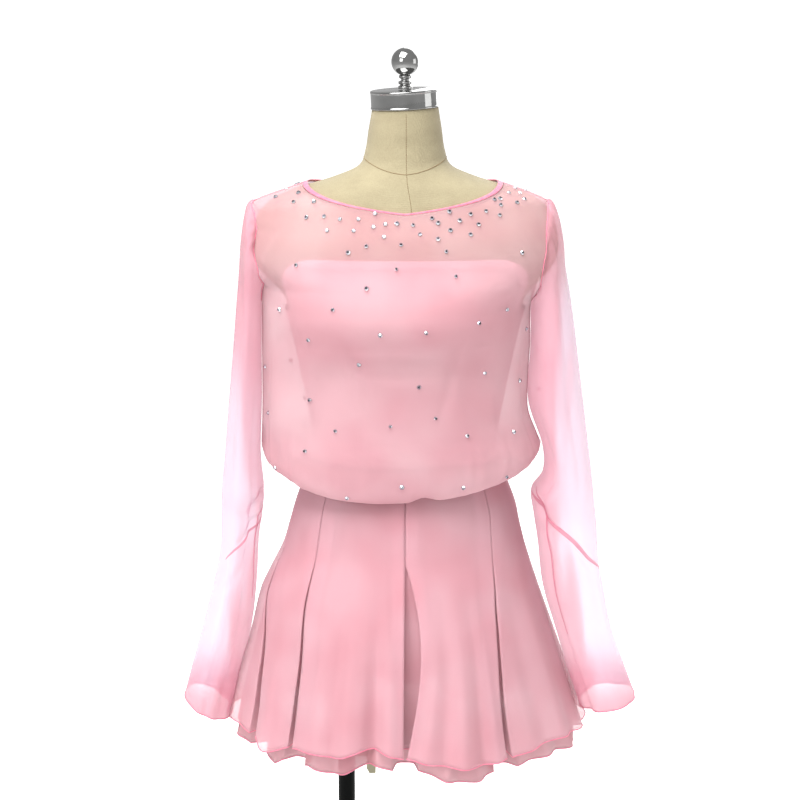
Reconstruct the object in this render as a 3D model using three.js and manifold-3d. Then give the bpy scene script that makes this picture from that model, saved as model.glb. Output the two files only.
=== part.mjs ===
// A figure skating dress of sheer chiffon on a limbless dress form with its pole and foot plate.
// Millimetres. +Z is up, the front of the dress faces -Y, its right side as seen from the front is +X.
// The origin is the middle of the foot plate's underside.
import * as THREE from 'three';
import { mergeVertices } from 'three/addons/utils/BufferGeometryUtils.js';
import Module from 'manifold-3d';

const wasm = await Module();
wasm.setup();

// Cloth
const CLOTH = 1.2;             // thickness of each cloth wall
const SEAM = 0.3;              // gap between two pieces at a seam
const LAYER = 1.7;             // step from one pressed layer of cloth to the next
const UNDER_BODICE_EASE = 1.6; // form to the middle of the under-bodice's wall at the waist
const BUST_EASE = 3.7;         // the same at the bust
const BODICE_EASE = 8.5;       // form to the middle of the overlay's wall over the under-bodice
const YOKE_EASE = 3.2;         // the same on the shoulders
const YOKE_LIFT = 1.5;         // the yoke's extra height over the form's shoulders
const ARMPIT_DROP = 4;         // the cloth clears the form's arm stumps from this far below

// Bodice
const UNDERARM_Z = 1090;       // foot of the armholes
const ARMHOLE_TOP_Z = 1221;    // shoulder point
const NECK_FRONT_Z = 1214;     // boat neckline at the centre front
const NECK_BACK_Z = 1228;
const NECK_SIDE_Z = 1245;      // neckline on the shoulders
const BINDING_WIDTH = 3.5;
const WAIST_Z = 880;           // waist seam, under the blouse's fold
const WAIST_STEP = 2.5;        // blouse out from the skirt there, between the walls' middles
const BUST_EDGE_FRONT_Z = 1158;
const BUST_EDGE_BACK_Z = 1112;
const BUST_EDGE_SIDE_Z = 1084;

// Skirt
const SKIRT_TOP_Z = 885;
const UNDER_BODICE_FOOT_Z = SKIRT_TOP_Z + 2 * SEAM;
const STITCH_END_Z = 770;      // the pleats are sewn down to here
const UNDER_LAYER = 5.1;       // upper to lower chiffon layer at the waist, between the walls' middles
const UNDER_FREE = 6;          // the same layers' extra distance at the hem
const UNDER_DIP = 2.5;         // and behind an open pleat
const UNDER_SLOPE = 7;         // width of the slope into that dip
const UNDERLAY_HALF = 20;      // half the width of a pleat's hidden underlay at the waist
const HEM_UNDERLAY = 8;        // underlay behind each edge of an open pleat at the hem
const EDGE_GAP = 0.9;          // half the gap between the two edges of a closed pleat
const SIDE_SEAM = 110.5;       // degrees from the centre front

// Form, neck cap and finial
const FORM_FOOT_Z = 572;
const NECK_TOP_Z = 1337;
const CAP_TILT = 2.7;          // degrees, the right side is the higher
const CAP_RADIUS = 43.7;
const CAP_HEIGHT = 23.2;
const BALL_RADIUS = 17.6;
const BALL_Z = 1395.5;
const STEM_RADIUS = 4.5;
const COLLAR_RADIUS = 9;

// Stand
const PLATE_RADIUS = 190;
const PLATE_HEIGHT = 10;
const POLE_RADIUS = 11.15;
const POLE_X = -78;
const SOCKET_LEFT = -104;
const SOCKET_RIGHT = -39;
const SOCKET_FOOT_Z = 478;
const SOCKET_DEPTH = 30;
const TONGUE_WIDTH = 12;
const TONGUE_FOOT_Z = 454;
const TONGUE_CHAMFER = 7;

const DEGREE = Math.PI / 180;

function tableOf(columns, rows) {
  return rows.map((row) => Object.fromEntries(columns.map((name, i) => [name, row[i]])));
}

// The form's level sections: half width, depth to the front and back, and how square the oval is.
const FORM = tableOf(['z', 'half', 'front', 'back', 'square'], [
  [622, 40, 40, 46, 2.0],
  [632, 96, 78, 88, 2.2],
  [655, 141, 95, 108, 2.2],
  [700, 151, 98, 113, 2.2],
  [750, 145, 95, 107, 2.2],
  [800, 135, 90, 95, 2.2],
  [862, 121, 84.3, 80, 2.2],
  [885, 118, 82.6, 77, 2.2],
  [905, 117, 82, 76, 2.2],
  [940, 121, 84, 78, 2.2],
  [990, 129.5, 90, 82, 2.2],
  [1030, 137, 106, 84, 2.2],
  [1060, 144, 120, 85, 2.2],
  [1080, 148.5, 125, 86, 2.25],
  [1098, 154, 124.5, 87, 2.3],
  [1112, 164, 122, 88, 2.35],
  [1126, 178, 117.5, 88, 2.4],
  [1140, 190, 112.5, 88, 2.4],
  [1156, 195.5, 107.5, 88, 2.4],
  [1181, 194, 99, 85.5, 2.4],
  [1200, 189, 90, 80, 2.4],
  [1212, 181, 84, 75, 2.35],
  [1222, 169, 79, 70.5, 2.3],
  [1233, 146, 73, 66, 2.2],
  [1241, 121, 69, 62, 2.1],
  [1250, 92, 63, 58, 2.0],
  [1264, 60, 55, 52, 2.0],
  [1285, 50.5, 49, 47.5, 2.0],
  [1310, 46.6, 46, 45, 2.0],
  [1337, 42, 42, 42, 2.0],
]);

// A short flat-footed thigh stub at each side of the form.
const STUB = tableOf(['z', 'middle', 'half', 'front', 'back'], [
  [572, 83, 35, 58, 60],
  [584, 84, 40, 64, 67],
  [620, 83, 55, 78, 84],
  [660, 76, 64, 88, 98],
  [690, 74, 62, 84, 96],
]);

// The loose overlay below the yoke: reach to the left, right, front and back.
const LOOSE = tableOf(['z', 'left', 'right', 'front', 'back'], [
  [845, 183, 176, 113, 106],
  [880, 184, 176.5, 119, 110],
  [900, 184, 176.5, 122, 112],
  [916, 184, 171, 121.5, 113],
  [950, 184, 159, 116, 112],
  [1000, 184, 159, 115, 109],
  [1040, 184, 161, 124, 105],
  [1080, 183.5, 160.5, 130.5, 101],
  [1110, 183, 162.5, 126, 96],
  [1130, 183, 163, 117, 90],
  [1190, 197.5, 176, 90, 80],
  [1207, 196, 180, 86, 76],
  [1220, 192, 181, 80, 71],
  [1233, 159, 153, 74, 67],
  [1246, 121, 115, 66, 60],
]);

// Edge of the front and back panels at the armholes, in degrees from the centre line.
const ARMHOLE = tableOf(['z', 'left', 'right'], [
  [1090, 90, 90],
  [1098, 86, 86],
  [1110, 81, 75],
  [1125, 72, 61],
  [1141, 64.5, 55],
  [1166, 66.5, 57],
  [1190, 68.5, 61],
  [1207, 73.5, 69],
  [1216, 82, 79],
  [1222, 90, 90],
]);

// Lower edge of the blouse, caught up a little beside the centre front.
const BLOUSE_EDGE = tableOf(['angle', 'z'], [
  [-180, 858],
  [-135, 862],
  [-90, 880],
  [-58, 868],
  [-45, 858],
  [-24, 849],
  [0, 849],
  [7, 857],
  [14, 853],
  [32, 861],
  [57, 875],
  [75, 884],
  [90, 884],
  [135, 864],
  [180, 858],
]);

// Large soft folds of the overlay: a trough has a negative height.
const BODICE_FOLDS = tableOf(['angle', 'lean', 'low', 'high', 'spread', 'height'], [
  [-34, 16, 900, 1050, 9, -4],
  [-58, -4, 880, 1010, 10, 3],
  [30, -20, 900, 1050, 9, -4],
  [58, 6, 880, 1000, 10, 3],
  [0, 0, 1000, 1040, 24, -3],
  [150, -8, 890, 1060, 11, -4],
  [-150, 8, 890, 1060, 11, -4],
]);

// The blouse rolls in under its widest level to the waist seam.
const ROLL_RISE = 20;          // widest level above the lowest edge
const ROLL_INSET = 9;          // lowest edge in from the widest level
const ROLL_BACK_INSET = 6;     // the same for the row behind the lowest edge
const ROLL_BACK_RISE = 4;
const ROLL_BACK_SHARE = 0.55;  // how far that row lies from the waist seam to the widest level

// Rows of the bodice panels between the lowest edge and the underarm.
const BODICE_COLUMNS = 14;
const BODICE_ROWS = tableOf(['share', 'inset'], [
  [0.035, 2],
  [0.12, 0],
  [0.285, 0],
  [0.52, 0],
  [0.76, 0],
]);
const UNDER_BODICE_ROWS = [0, 0.12, 0.3, 0.46, 0.58, 0.68, 0.76, 0.82, 0.87, 0.91, 0.95, 1];

// The skirt's level sections at the middle of the panels' wall.
const SKIRT = tableOf(['z', 'left', 'right', 'front', 'back', 'square'], [
  [525, 231, 236, 207, 210, 2.0],
  [551, 226, 227, 202, 204, 2.0],
  [579, 219, 218, 195, 197, 2.0],
  [607, 212, 208.5, 187, 189, 2.0],
  [635, 204, 199.5, 178, 181, 2.0],
  [660, 198, 191.5, 170, 173, 2.0],
  [686, 193, 183, 160, 163, 2.0],
  [711, 187, 175, 149, 153, 2.0],
  [735, 176, 167.5, 138, 142, 2.05],
  [770, 159.5, 157, 121, 123, 2.1],
  [800, 150.5, 149.5, 111, 112, 2.15],
  [826, 143, 144, 104, 104, 2.2],
  [862, 131, 131, 94.8, 91, 2.2],
  [885, 128, 128, 92.7, 87.4, 2.2],
]);

// Inverted pleats: place at the waist and at the hem in degrees from the centre front, opening to the
// left and right at the hem, how far the right edge swings out half-way down, depth at the hem, and
// the height of the ridge in the opening.
const PLEATS = tableOf(['waist', 'hem', 'left', 'right', 'swing', 'depth', 'ridge'], [
  [-133, -120, 6, 10, 0, 30, 0],
  [-88, -61, 3, 12, 0, 26, 0],
  [-46.5, -40, 3, 4, 0, 26, 0],
  [0, 0, 2, 2, 19, 34, 0],
  [48, 34.6, 4, 4, 0, 26, 0],
  [88, 88, 8, 8, 0, 24, 0],
  [133, 140, 10, 6, 0, 30, 0],
  [180, 180, 14, 14, 0, 34, 10],
]);

// Height of the two hems round the skirt.
const HEM = tableOf(['angle', 'outer', 'under'], [
  [-180, 534, 518],
  [-120, 538, 520],
  [-85, 541, 524],
  [-62, 541, 521],
  [-50, 531, 512],
  [-38, 543, 521],
  [-23, 541, 517],
  [-12, 552, 530],
  [0, 544, 526],
  [12, 534, 512],
  [25, 529, 508],
  [36, 534, 516],
  [55, 540, 520],
  [66, 537, 516],
  [80, 528, 512],
  [92, 523, 508],
  [130, 536, 520],
  [180, 534, 518],
]);
const HEM_MIDDLE = { outer: 538, under: 518 };

// Rows of the skirt panels, each a share of the way down from a level to the hem.
const SKIRT_ROWS = tableOf(['level', 'share'], [
  [STITCH_END_Z, 1],
  [STITCH_END_Z, 0.74],
  [STITCH_END_Z, 0.47],
  [STITCH_END_Z, 0.21],
  [STITCH_END_Z, 0],
  [815, 0],
  [862, 0],
  [SKIRT_TOP_Z, 0],
]);

// Sleeves, from the shoulder to the cuff: the outer and inner edge of each section, half its depth and
// how far its middle lies to the back. Distances from the centre line, the same way for both sides.
const SLEEVE_COLUMNS = ['outX', 'outZ', 'inX', 'inZ', 'depth', 'middle'];
const SLEEVE_LEFT = tableOf(SLEEVE_COLUMNS, [
  [200.5, 1213, 186.6, 1087, 62, 2],
  [206, 1193, 187, 1083, 64, 2],
  [210, 1165, 187.2, 1078, 64, 2],
  [212.5, 1130, 187.4, 1070, 63, 1],
  [216, 1091, 187.6, 1052, 62, 0],
  [220.5, 1039, 187.6, 1025, 60, -1],
  [228, 960, 187.6, 960, 57, -3],
  [234, 893, 187.6, 893, 56, -4],
  [238.5, 850, 184.4, 846, 57, -5],
  [239.5, 820, 185, 826, 52, -4],
  [240, 794, 187.5, 806, 56, -4],
  [242, 764, 192, 774, 60, -4],
  [252, 716, 195.5, 716, 62, -4],
  [266, 662, 203, 656, 60, -5],
  [281, 607, 217.5, 600, 58, -6],
  [291.8, 566, 229.5, 538, 57, -6],
]);
const SLEEVE_RIGHT = tableOf(SLEEVE_COLUMNS, [
  [189, 1215, 164, 1086, 66, 2],
  [197, 1196, 164.4, 1082, 67, 2],
  [202.5, 1168, 164.6, 1077, 66, 2],
  [205, 1138, 164.8, 1068, 65, 1],
  [212, 1098, 164.8, 1052, 64, 0],
  [219.5, 1045, 164.8, 1025, 62, -1],
  [230.5, 960, 165.5, 962, 60, -3],
  [238.5, 898, 180.5, 904, 58, -4],
  [243.5, 858, 180, 866, 58, -5],
  [247, 826, 165, 842, 60, -6],
  [250.5, 794, 168, 812, 56, -7],
  [253, 752, 174, 774, 60, -8],
  [259.5, 717, 181, 716, 60, -9],
  [270.5, 662, 198, 658, 58, -10],
  [287, 612, 214, 606, 56, -11],
  [303, 568, 232, 553, 55, -12],
]);
const SLEEVE_SQUARE = 2.3;
const SLEEVE_SIDES = 16;
const ELBOW_RING = 8;          // each sleeve is two solids that meet here, counted from the armhole

// Long soft folds of a sleeve, by turn round the sleeve from its outer edge over the front.
const SLEEVE_FOLDS = tableOf(['turn', 'spread', 'from', 'to', 'height'], [
  [0.14, 0.05, 1, 6, -5],
  [0.26, 0.05, 4, 15, 4],
  [0.38, 0.05, 5, 15, -6],
  [0.64, 0.05, 4, 15, -6],
  [0.82, 0.05, 6, 15, -5],
]);

function slopeOf(table, i, key, column) {
  const before = table[Math.max(i - 1, 0)];
  const after = table[Math.min(i + 1, table.length - 1)];
  return (after[column] - before[column]) / (after[key] - before[key]);
}

// A column of a table, read smoothly between its rows.
function read(table, key, value, column) {
  const last = table.length - 1;
  if (value <= table[0][key]) return table[0][column];
  if (value >= table[last][key]) return table[last][column];
  let i = 0;
  while (value > table[i + 1][key]) i += 1;
  const low = table[i];
  const high = table[i + 1];
  const span = high[key] - low[key];
  const t = (value - low[key]) / span;
  const leave = slopeOf(table, i, key, column) * span;
  const arrive = slopeOf(table, i + 1, key, column) * span;
  const rise = t * t * (3 - 2 * t);
  return low[column] * (1 - rise) + high[column] * rise
    + leave * t * (1 - t) * (1 - t) - arrive * t * t * (1 - t);
}

function mix(a, b, t) {
  return a + (b - a) * t;
}

function smooth(t) {
  const x = Math.min(Math.max(t, 0), 1);
  return x * x * (3 - 2 * x);
}

function signedPower(value, power) {
  return Math.sign(value) * Math.abs(value) ** power;
}

// A point of a level oval, by its angle in degrees from the centre front towards +X.
function onOval(section, angle, z) {
  const sine = signedPower(Math.sin(angle * DEGREE), 2 / section.square);
  const cosine = signedPower(Math.cos(angle * DEGREE), 2 / section.square);
  const reach = sine < 0 ? section.left : section.right;
  const depth = cosine > 0 ? section.front : section.back;
  return new THREE.Vector3(reach * sine, -depth * cosine, z);
}

function formSection(z, ease) {
  const half = read(FORM, 'z', z, 'half') + ease;
  return {
    left: half,
    right: half,
    front: read(FORM, 'z', z, 'front') + ease,
    back: read(FORM, 'z', z, 'back') + ease,
    square: read(FORM, 'z', z, 'square'),
  };
}

// The overlay lies on the form at the yoke and hangs free of it below.
function looseSection(z) {
  const ease = mix(BODICE_EASE, YOKE_EASE, smooth((z - BUST_EDGE_FRONT_Z) / 50));
  const lift = mix(-ARMPIT_DROP, YOKE_LIFT, smooth((z - BUST_EDGE_FRONT_Z) / 30));
  const near = formSection(z - lift, ease);
  for (const side of ['left', 'right', 'front', 'back']) {
    near[side] = Math.max(near[side], read(LOOSE, 'z', z, side));
  }
  return near;
}

function skirtSection(z) {
  const columns = ['left', 'right', 'front', 'back', 'square'];
  return Object.fromEntries(columns.map((column) => [column, read(SKIRT, 'z', z, column)]));
}

// A closed body from a list of triangles of points.
function bodyOf(triangles) {
  const positions = new Float32Array(triangles.length * 9);
  triangles.forEach((corners, i) => {
    corners.forEach((corner, k) => corner.toArray(positions, i * 9 + k * 3));
  });
  const geometry = new THREE.BufferGeometry();
  geometry.setAttribute('position', new THREE.BufferAttribute(positions, 3));
  const merged = mergeVertices(geometry, 1e-4);
  merged.computeVertexNormals();
  return merged;
}

function pushQuad(triangles, a, b, c, d) {
  triangles.push([a, b, c], [a, c, d]);
}

// Outward direction at a grid point, lengthened at sharp folds so that the wall keeps its thickness.
function wallNormal(grid, row, column, closed) {
  const line = grid[row];
  const count = line.length;
  const here = line[column];
  const up = new THREE.Vector3().subVectors(
    grid[Math.min(row + 1, grid.length - 1)][column],
    grid[Math.max(row - 1, 0)][column],
  );
  const previous = closed ? line[(column + count - 1) % count] : line[column - 1];
  const next = closed ? line[(column + 1) % count] : line[column + 1];
  const normals = [];
  if (previous) normals.push(new THREE.Vector3().subVectors(here, previous).cross(up).normalize());
  if (next) normals.push(new THREE.Vector3().subVectors(next, here).cross(up).normalize());
  const middle = normals.reduce((sum, n) => sum.add(n), new THREE.Vector3()).normalize();
  return middle.multiplyScalar(1 / Math.max(middle.dot(normals[normals.length - 1]), 0.65));
}

// A cloth wall round the middle surface given by a grid whose rows go up and columns go to +X in front.
function clothWall(grid, closed = false, thickness = CLOTH) {
  const outer = grid.map((line, r) => line.map((point, c) => (
    point.clone().addScaledVector(wallNormal(grid, r, c, closed), thickness / 2))));
  const inner = grid.map((line, r) => line.map((point, c) => (
    point.clone().addScaledVector(wallNormal(grid, r, c, closed), -thickness / 2))));
  const rows = grid.length;
  const columns = grid[0].length;
  const strips = closed ? columns : columns - 1;
  const triangles = [];
  for (let c = 0; c < strips; c += 1) {
    const n = (c + 1) % columns;
    for (let r = 0; r < rows - 1; r += 1) {
      pushQuad(triangles, outer[r][c], outer[r][n], outer[r + 1][n], outer[r + 1][c]);
      pushQuad(triangles, inner[r][c], inner[r + 1][c], inner[r + 1][n], inner[r][n]);
    }
    pushQuad(triangles, inner[0][c], inner[0][n], outer[0][n], outer[0][c]);
    pushQuad(triangles, outer[rows - 1][c], outer[rows - 1][n], inner[rows - 1][n], inner[rows - 1][c]);
  }
  if (!closed) {
    const end = columns - 1;
    for (let r = 0; r < rows - 1; r += 1) {
      pushQuad(triangles, inner[r][0], outer[r][0], outer[r + 1][0], inner[r + 1][0]);
      pushQuad(triangles, outer[r][end], inner[r][end], inner[r + 1][end], outer[r + 1][end]);
    }
  }
  return bodyOf(triangles);
}

// A full body through closed level rings, from the lowest to the highest.
function fullBody(rings) {
  const triangles = [];
  const count = rings[0].length;
  const middles = [rings[0], rings[rings.length - 1]].map((ring) => (
    ring.reduce((sum, point) => sum.add(point), new THREE.Vector3()).multiplyScalar(1 / count)));
  for (let c = 0; c < count; c += 1) {
    const n = (c + 1) % count;
    triangles.push([middles[0], rings[0][n], rings[0][c]]);
    for (let r = 0; r < rings.length - 1; r += 1) {
      pushQuad(triangles, rings[r][c], rings[r][n], rings[r + 1][n], rings[r + 1][c]);
    }
    const top = rings[rings.length - 1];
    triangles.push([middles[1], top[c], top[n]]);
  }
  return bodyOf(triangles);
}

function solidOf(geometry) {
  return new wasm.Manifold(new wasm.Mesh({
    numProp: 3,
    vertProperties: new Float32Array(geometry.attributes.position.array),
    triVerts: new Uint32Array(geometry.index.array),
  }));
}

function geometryOf(solid) {
  const mesh = solid.getMesh();
  const geometry = new THREE.BufferGeometry();
  geometry.setAttribute('position', new THREE.BufferAttribute(new Float32Array(mesh.vertProperties), 3));
  geometry.setIndex(new THREE.BufferAttribute(new Uint32Array(mesh.triVerts), 1));
  geometry.computeVertexNormals();
  return geometry;
}

function angles(count) {
  return Array.from({ length: count }, (_, i) => (i * 360) / count - 180);
}

// The neck's top slopes with its cap.
function tiltedHeight(point) {
  return point.z + (point.z >= NECK_TOP_Z ? point.x * Math.tan(CAP_TILT * DEGREE) : 0);
}

function makeForm() {
  const rings = FORM.map((row) => angles(40).map((angle) => {
    const point = onOval(formSection(row.z, 0), angle, row.z);
    return point.setZ(tiltedHeight(point));
  }));
  let body = solidOf(fullBody(rings));
  for (const side of [-1, 1]) {
    const stub = STUB.map((row) => angles(20).map((angle) => {
      const section = { left: row.half, right: row.half, front: row.front, back: row.back, square: 2.2 };
      const point = onOval(section, angle, row.z);
      return point.setX(point.x + side * row.middle);
    }));
    body = body.add(solidOf(fullBody(stub)));
  }
  return geometryOf(body);
}

// Round pieces are turned about Z from a profile of distances from the axis and heights.
function turned(profile, sides) {
  const points = profile.map(([radius, height]) => new THREE.Vector2(radius, height));
  return new THREE.LatheGeometry(points, sides).rotateX(Math.PI / 2);
}

function makeCap() {
  const round = 3;
  const profile = [[0, 0], [CAP_RADIUS, 0], [CAP_RADIUS, CAP_HEIGHT - round]];
  for (const step of [30, 60, 90]) {
    profile.push([
      CAP_RADIUS - round + round * Math.cos(step * DEGREE),
      CAP_HEIGHT - round + round * Math.sin(step * DEGREE),
    ]);
  }
  profile.push([0, CAP_HEIGHT]);
  return turned(profile, 36);
}

function makeStem(height) {
  const collar = 4;
  return turned([
    [0, 0],
    [COLLAR_RADIUS, 0],
    [COLLAR_RADIUS, collar],
    [STEM_RADIUS, collar + 1.5],
    [STEM_RADIUS, height - 3.5],
    [COLLAR_RADIUS - 1, height - 2.5],
    [COLLAR_RADIUS - 1, height],
    [0, height],
  ], 20);
}

// The ball stands on a small flat.
function makeBall() {
  const start = -66;
  const steps = 10;
  const profile = [[0, BALL_RADIUS * Math.sin(start * DEGREE)]];
  for (let i = 0; i < steps; i += 1) {
    const angle = mix(start, 90, i / steps) * DEGREE;
    profile.push([BALL_RADIUS * Math.cos(angle), BALL_RADIUS * Math.sin(angle)]);
  }
  profile.push([0, BALL_RADIUS]);
  return turned(profile, 20);
}

function makeSocket() {
  const right = SOCKET_RIGHT;
  const outline = new THREE.Shape();
  outline.moveTo(SOCKET_LEFT, SOCKET_FOOT_Z);
  outline.lineTo(right - TONGUE_WIDTH, SOCKET_FOOT_Z);
  outline.lineTo(right - TONGUE_WIDTH, TONGUE_FOOT_Z + TONGUE_CHAMFER);
  outline.lineTo(right - TONGUE_WIDTH + TONGUE_CHAMFER / 2, TONGUE_FOOT_Z);
  outline.lineTo(right, TONGUE_FOOT_Z);
  outline.lineTo(right, FORM_FOOT_Z - SEAM);
  outline.lineTo(SOCKET_LEFT, FORM_FOOT_Z - SEAM);
  outline.closePath();
  const block = new THREE.ExtrudeGeometry(outline, { depth: SOCKET_DEPTH, bevelEnabled: false });
  return block.translate(0, 0, -SOCKET_DEPTH / 2).rotateX(Math.PI / 2);
}

function makePlate() {
  const round = 3;
  return turned([
    [0, 0],
    [PLATE_RADIUS, 0],
    [PLATE_RADIUS, PLATE_HEIGHT - round],
    [PLATE_RADIUS - round, PLATE_HEIGHT],
    [0, PLATE_HEIGHT],
  ], 48);
}

function makePole() {
  const height = SOCKET_FOOT_Z - PLATE_HEIGHT - 2 * SEAM;
  return turned([[0, 0], [POLE_RADIUS, 0], [POLE_RADIUS, height], [0, height]], 24);
}

// Height of the overlay's neck edge, by the angle from the centre front.
function neckHeight(angle) {
  const inFront = Math.cos(angle * DEGREE) > 0;
  const middle = inFront ? NECK_FRONT_Z : NECK_BACK_Z;
  return mix(middle, NECK_SIDE_Z, Math.abs(Math.sin(angle * DEGREE)));
}

function foldHeight(angle, z) {
  return BODICE_FOLDS.reduce((sum, fold) => {
    const along = (z - fold.low) / (fold.high - fold.low);
    const place = fold.angle + fold.lean * (along - 0.5);
    const across = (angle - place) / fold.spread;
    const ends = smooth(along * 3) * smooth((1 - along) * 3);
    return sum + fold.height * ends * Math.exp(-across * across);
  }, 0);
}

// A point of the overlay, moved out by its own folds.
function bodicePoint(angle, z, outward = 0) {
  const section = looseSection(z);
  const move = foldHeight(angle, z) + outward;
  for (const side of ['left', 'right', 'front', 'back']) section[side] += move;
  return onOval(section, angle, z);
}

// Edge of a panel, in degrees from the centre line, with half a seam's gap at the side and shoulder.
function panelEdge(z, side) {
  const edge = z < UNDERARM_Z ? 90 : read(ARMHOLE, 'z', z, side);
  const reach = read(LOOSE, 'z', z, side);
  return Math.min(edge, 90 - SEAM / 2 / reach / DEGREE);
}

// Angles of one row of a panel, from its left to its right edge as seen from its own outside.
function panelAngles(z, back, columns) {
  const first = panelEdge(z, back ? 'right' : 'left');
  const last = panelEdge(z, back ? 'left' : 'right');
  return Array.from({ length: columns + 1 }, (_, i) => {
    const angle = mix(-first, last, i / columns);
    return back ? 180 + angle : angle;
  });
}

// Heights of the armhole seam's points, the same on the sleeve and on the panels.
function armholeHeights() {
  return Array.from({ length: SLEEVE_SIDES / 2 + 1 }, (_, i) => (
    mix(UNDERARM_Z + 1, ARMHOLE_TOP_Z, (1 - Math.cos((i * 2 * Math.PI) / SLEEVE_SIDES)) / 2)));
}

function turnedAngle(angle) {
  return angle > 180 ? angle - 360 : angle;
}

function makeBodice(back) {
  const grid = [];
  const sideAngles = panelAngles(WAIST_Z, back, BODICE_COLUMNS);
  const edge = (angle) => read(BLOUSE_EDGE, 'angle', turnedAngle(angle), 'z');
  // The blouse is caught in the waist seam and rolls out over it.
  const waist = skirtSection(WAIST_Z);
  for (const side of ['left', 'right', 'front', 'back']) waist[side] += WAIST_STEP;
  const rolled = (angle, inset) => bodicePoint(angle, edge(angle) + ROLL_RISE, -inset);
  grid.push(sideAngles.map((angle) => onOval(waist, angle, WAIST_Z)));
  grid.push(sideAngles.map((angle) => {
    const out = rolled(angle, ROLL_BACK_INSET);
    const point = onOval(waist, angle, WAIST_Z).lerp(out, ROLL_BACK_SHARE);
    return point.setZ(edge(angle) + ROLL_BACK_RISE);
  }));
  grid.push(sideAngles.map((angle) => rolled(angle, ROLL_INSET).setZ(edge(angle))));
  for (const row of BODICE_ROWS) {
    grid.push(sideAngles.map((angle) => (
      bodicePoint(angle, mix(edge(angle), UNDERARM_Z, row.share), -row.inset))));
  }
  const shoulderTop = NECK_SIDE_Z - BINDING_WIDTH - SEAM;
  for (const edgeZ of [UNDERARM_Z, ...armholeHeights().slice(1), shoulderTop]) {
    const share = (edgeZ - UNDERARM_Z) / (shoulderTop - UNDERARM_Z);
    grid.push(panelAngles(edgeZ, back, BODICE_COLUMNS).map((angle) => {
      const top = neckHeight(angle) - BINDING_WIDTH - SEAM;
      return bodicePoint(angle, mix(UNDERARM_Z, top, share));
    }));
  }
  return clothWall(grid);
}

function makeBinding() {
  const grid = [0, 1].map((row) => angles(2 * BODICE_COLUMNS).map((step) => {
    const angle = step + 90;
    return bodicePoint(angle, neckHeight(angle) - BINDING_WIDTH * (1 - row));
  }));
  return clothWall(grid, true);
}

function bustEdge(angle) {
  const middle = Math.cos(angle * DEGREE) > 0 ? BUST_EDGE_FRONT_Z : BUST_EDGE_BACK_Z;
  return mix(middle, BUST_EDGE_SIDE_Z, smooth((1 - Math.abs(Math.cos(angle * DEGREE)) - 0.13) / 0.6));
}

function makeUnderBodice(back) {
  const waistRadius = formSection(WAIST_Z, 0).left;
  const edge = 90 - SEAM / 2 / waistRadius / DEGREE;
  const grid = UNDER_BODICE_ROWS.map((share) => (
    Array.from({ length: BODICE_COLUMNS + 1 }, (_, i) => {
      const angle = mix(-edge, edge, i / BODICE_COLUMNS) + (back ? 180 : 0);
      const z = mix(UNDER_BODICE_FOOT_Z, bustEdge(angle), share);
      const ease = mix(UNDER_BODICE_EASE, BUST_EASE, smooth((z - WAIST_Z) / 140));
      const drop = ARMPIT_DROP / 2 * smooth((z - UNDERARM_Z + 30) / 40);
      return onOval(formSection(z + drop, ease), angle, z);
    })));
  return clothWall(grid);
}

// A point of the skirt beside an angle: shifted along the section and then moved in from it.
function skirtPoint(z, angle, shift, inward) {
  const section = skirtSection(z);
  const step = onOval(section, angle + 0.5, z).distanceTo(onOval(section, angle - 0.5, z));
  const place = angle + shift / step;
  const point = onOval(section, place, z);
  const along = onOval(section, place + 0.5, z).sub(onOval(section, place - 0.5, z)).normalize();
  return point.add(new THREE.Vector3(-along.y, along.x, 0).multiplyScalar(inward));
}

// How far a pleat is open at a height, from 0 at its stitching to 1 at the hem.
function openness(z, hem) {
  return Math.min(Math.max((STITCH_END_Z - z) / (STITCH_END_Z - hem), 0), 1) ** 0.85;
}

function pleatAngle(pleat, z) {
  const t = (SKIRT_TOP_Z - z) / (SKIRT_TOP_Z - HEM_MIDDLE.outer);
  return mix(pleat.waist, pleat.hem, smooth(t));
}

// Half the width of the hidden underlay on one side of a pleat.
function underlayHalf(pleat, side, open) {
  return mix(UNDERLAY_HALF, pleat[side] + HEM_UNDERLAY, open);
}

// How far a pleat's right edge has swung out.
function swingOf(pleat, open) {
  return pleat.swing * Math.sin(Math.PI * open);
}

// A pleat's path at one height: shift along the section and distance in from it.
function outerPleat(pleat, open) {
  const left = pleat.left * open + EDGE_GAP;
  const right = pleat.right * open + EDGE_GAP + swingOf(pleat, open);
  const hiddenLeft = underlayHalf(pleat, 'left', open);
  const hiddenRight = underlayHalf(pleat, 'right', open) + swingOf(pleat, open);
  const depth = pleat.depth * open;
  const bend = LAYER + 0.85 * depth;
  const floor = 2 * LAYER + depth;
  const ridge = pleat.ridge * open;
  return [
    [-left, 0],
    [-left, LAYER],
    [-hiddenLeft, bend],
    [-hiddenLeft, floor],
    [(hiddenRight - hiddenLeft) / 2 + 0.4 * ridge, floor - ridge],
    [hiddenRight, floor],
    [hiddenRight, bend],
    [right, LAYER],
    [right, 0],
  ];
}

// The under layer dips behind each pleat of the upper one.
function underPleat(pleat, open) {
  const left = underlayHalf(pleat, 'left', open);
  const right = underlayHalf(pleat, 'right', open) + swingOf(pleat, open);
  const near = UNDER_LAYER + UNDER_FREE * open;
  const floor = UNDER_LAYER + (pleat.depth + UNDER_DIP) * open;
  return [
    [-left - UNDER_SLOPE, near],
    [-left - UNDER_SLOPE / 2, floor],
    [right + UNDER_SLOPE / 2, floor],
    [right + UNDER_SLOPE, near],
  ];
}

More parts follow.
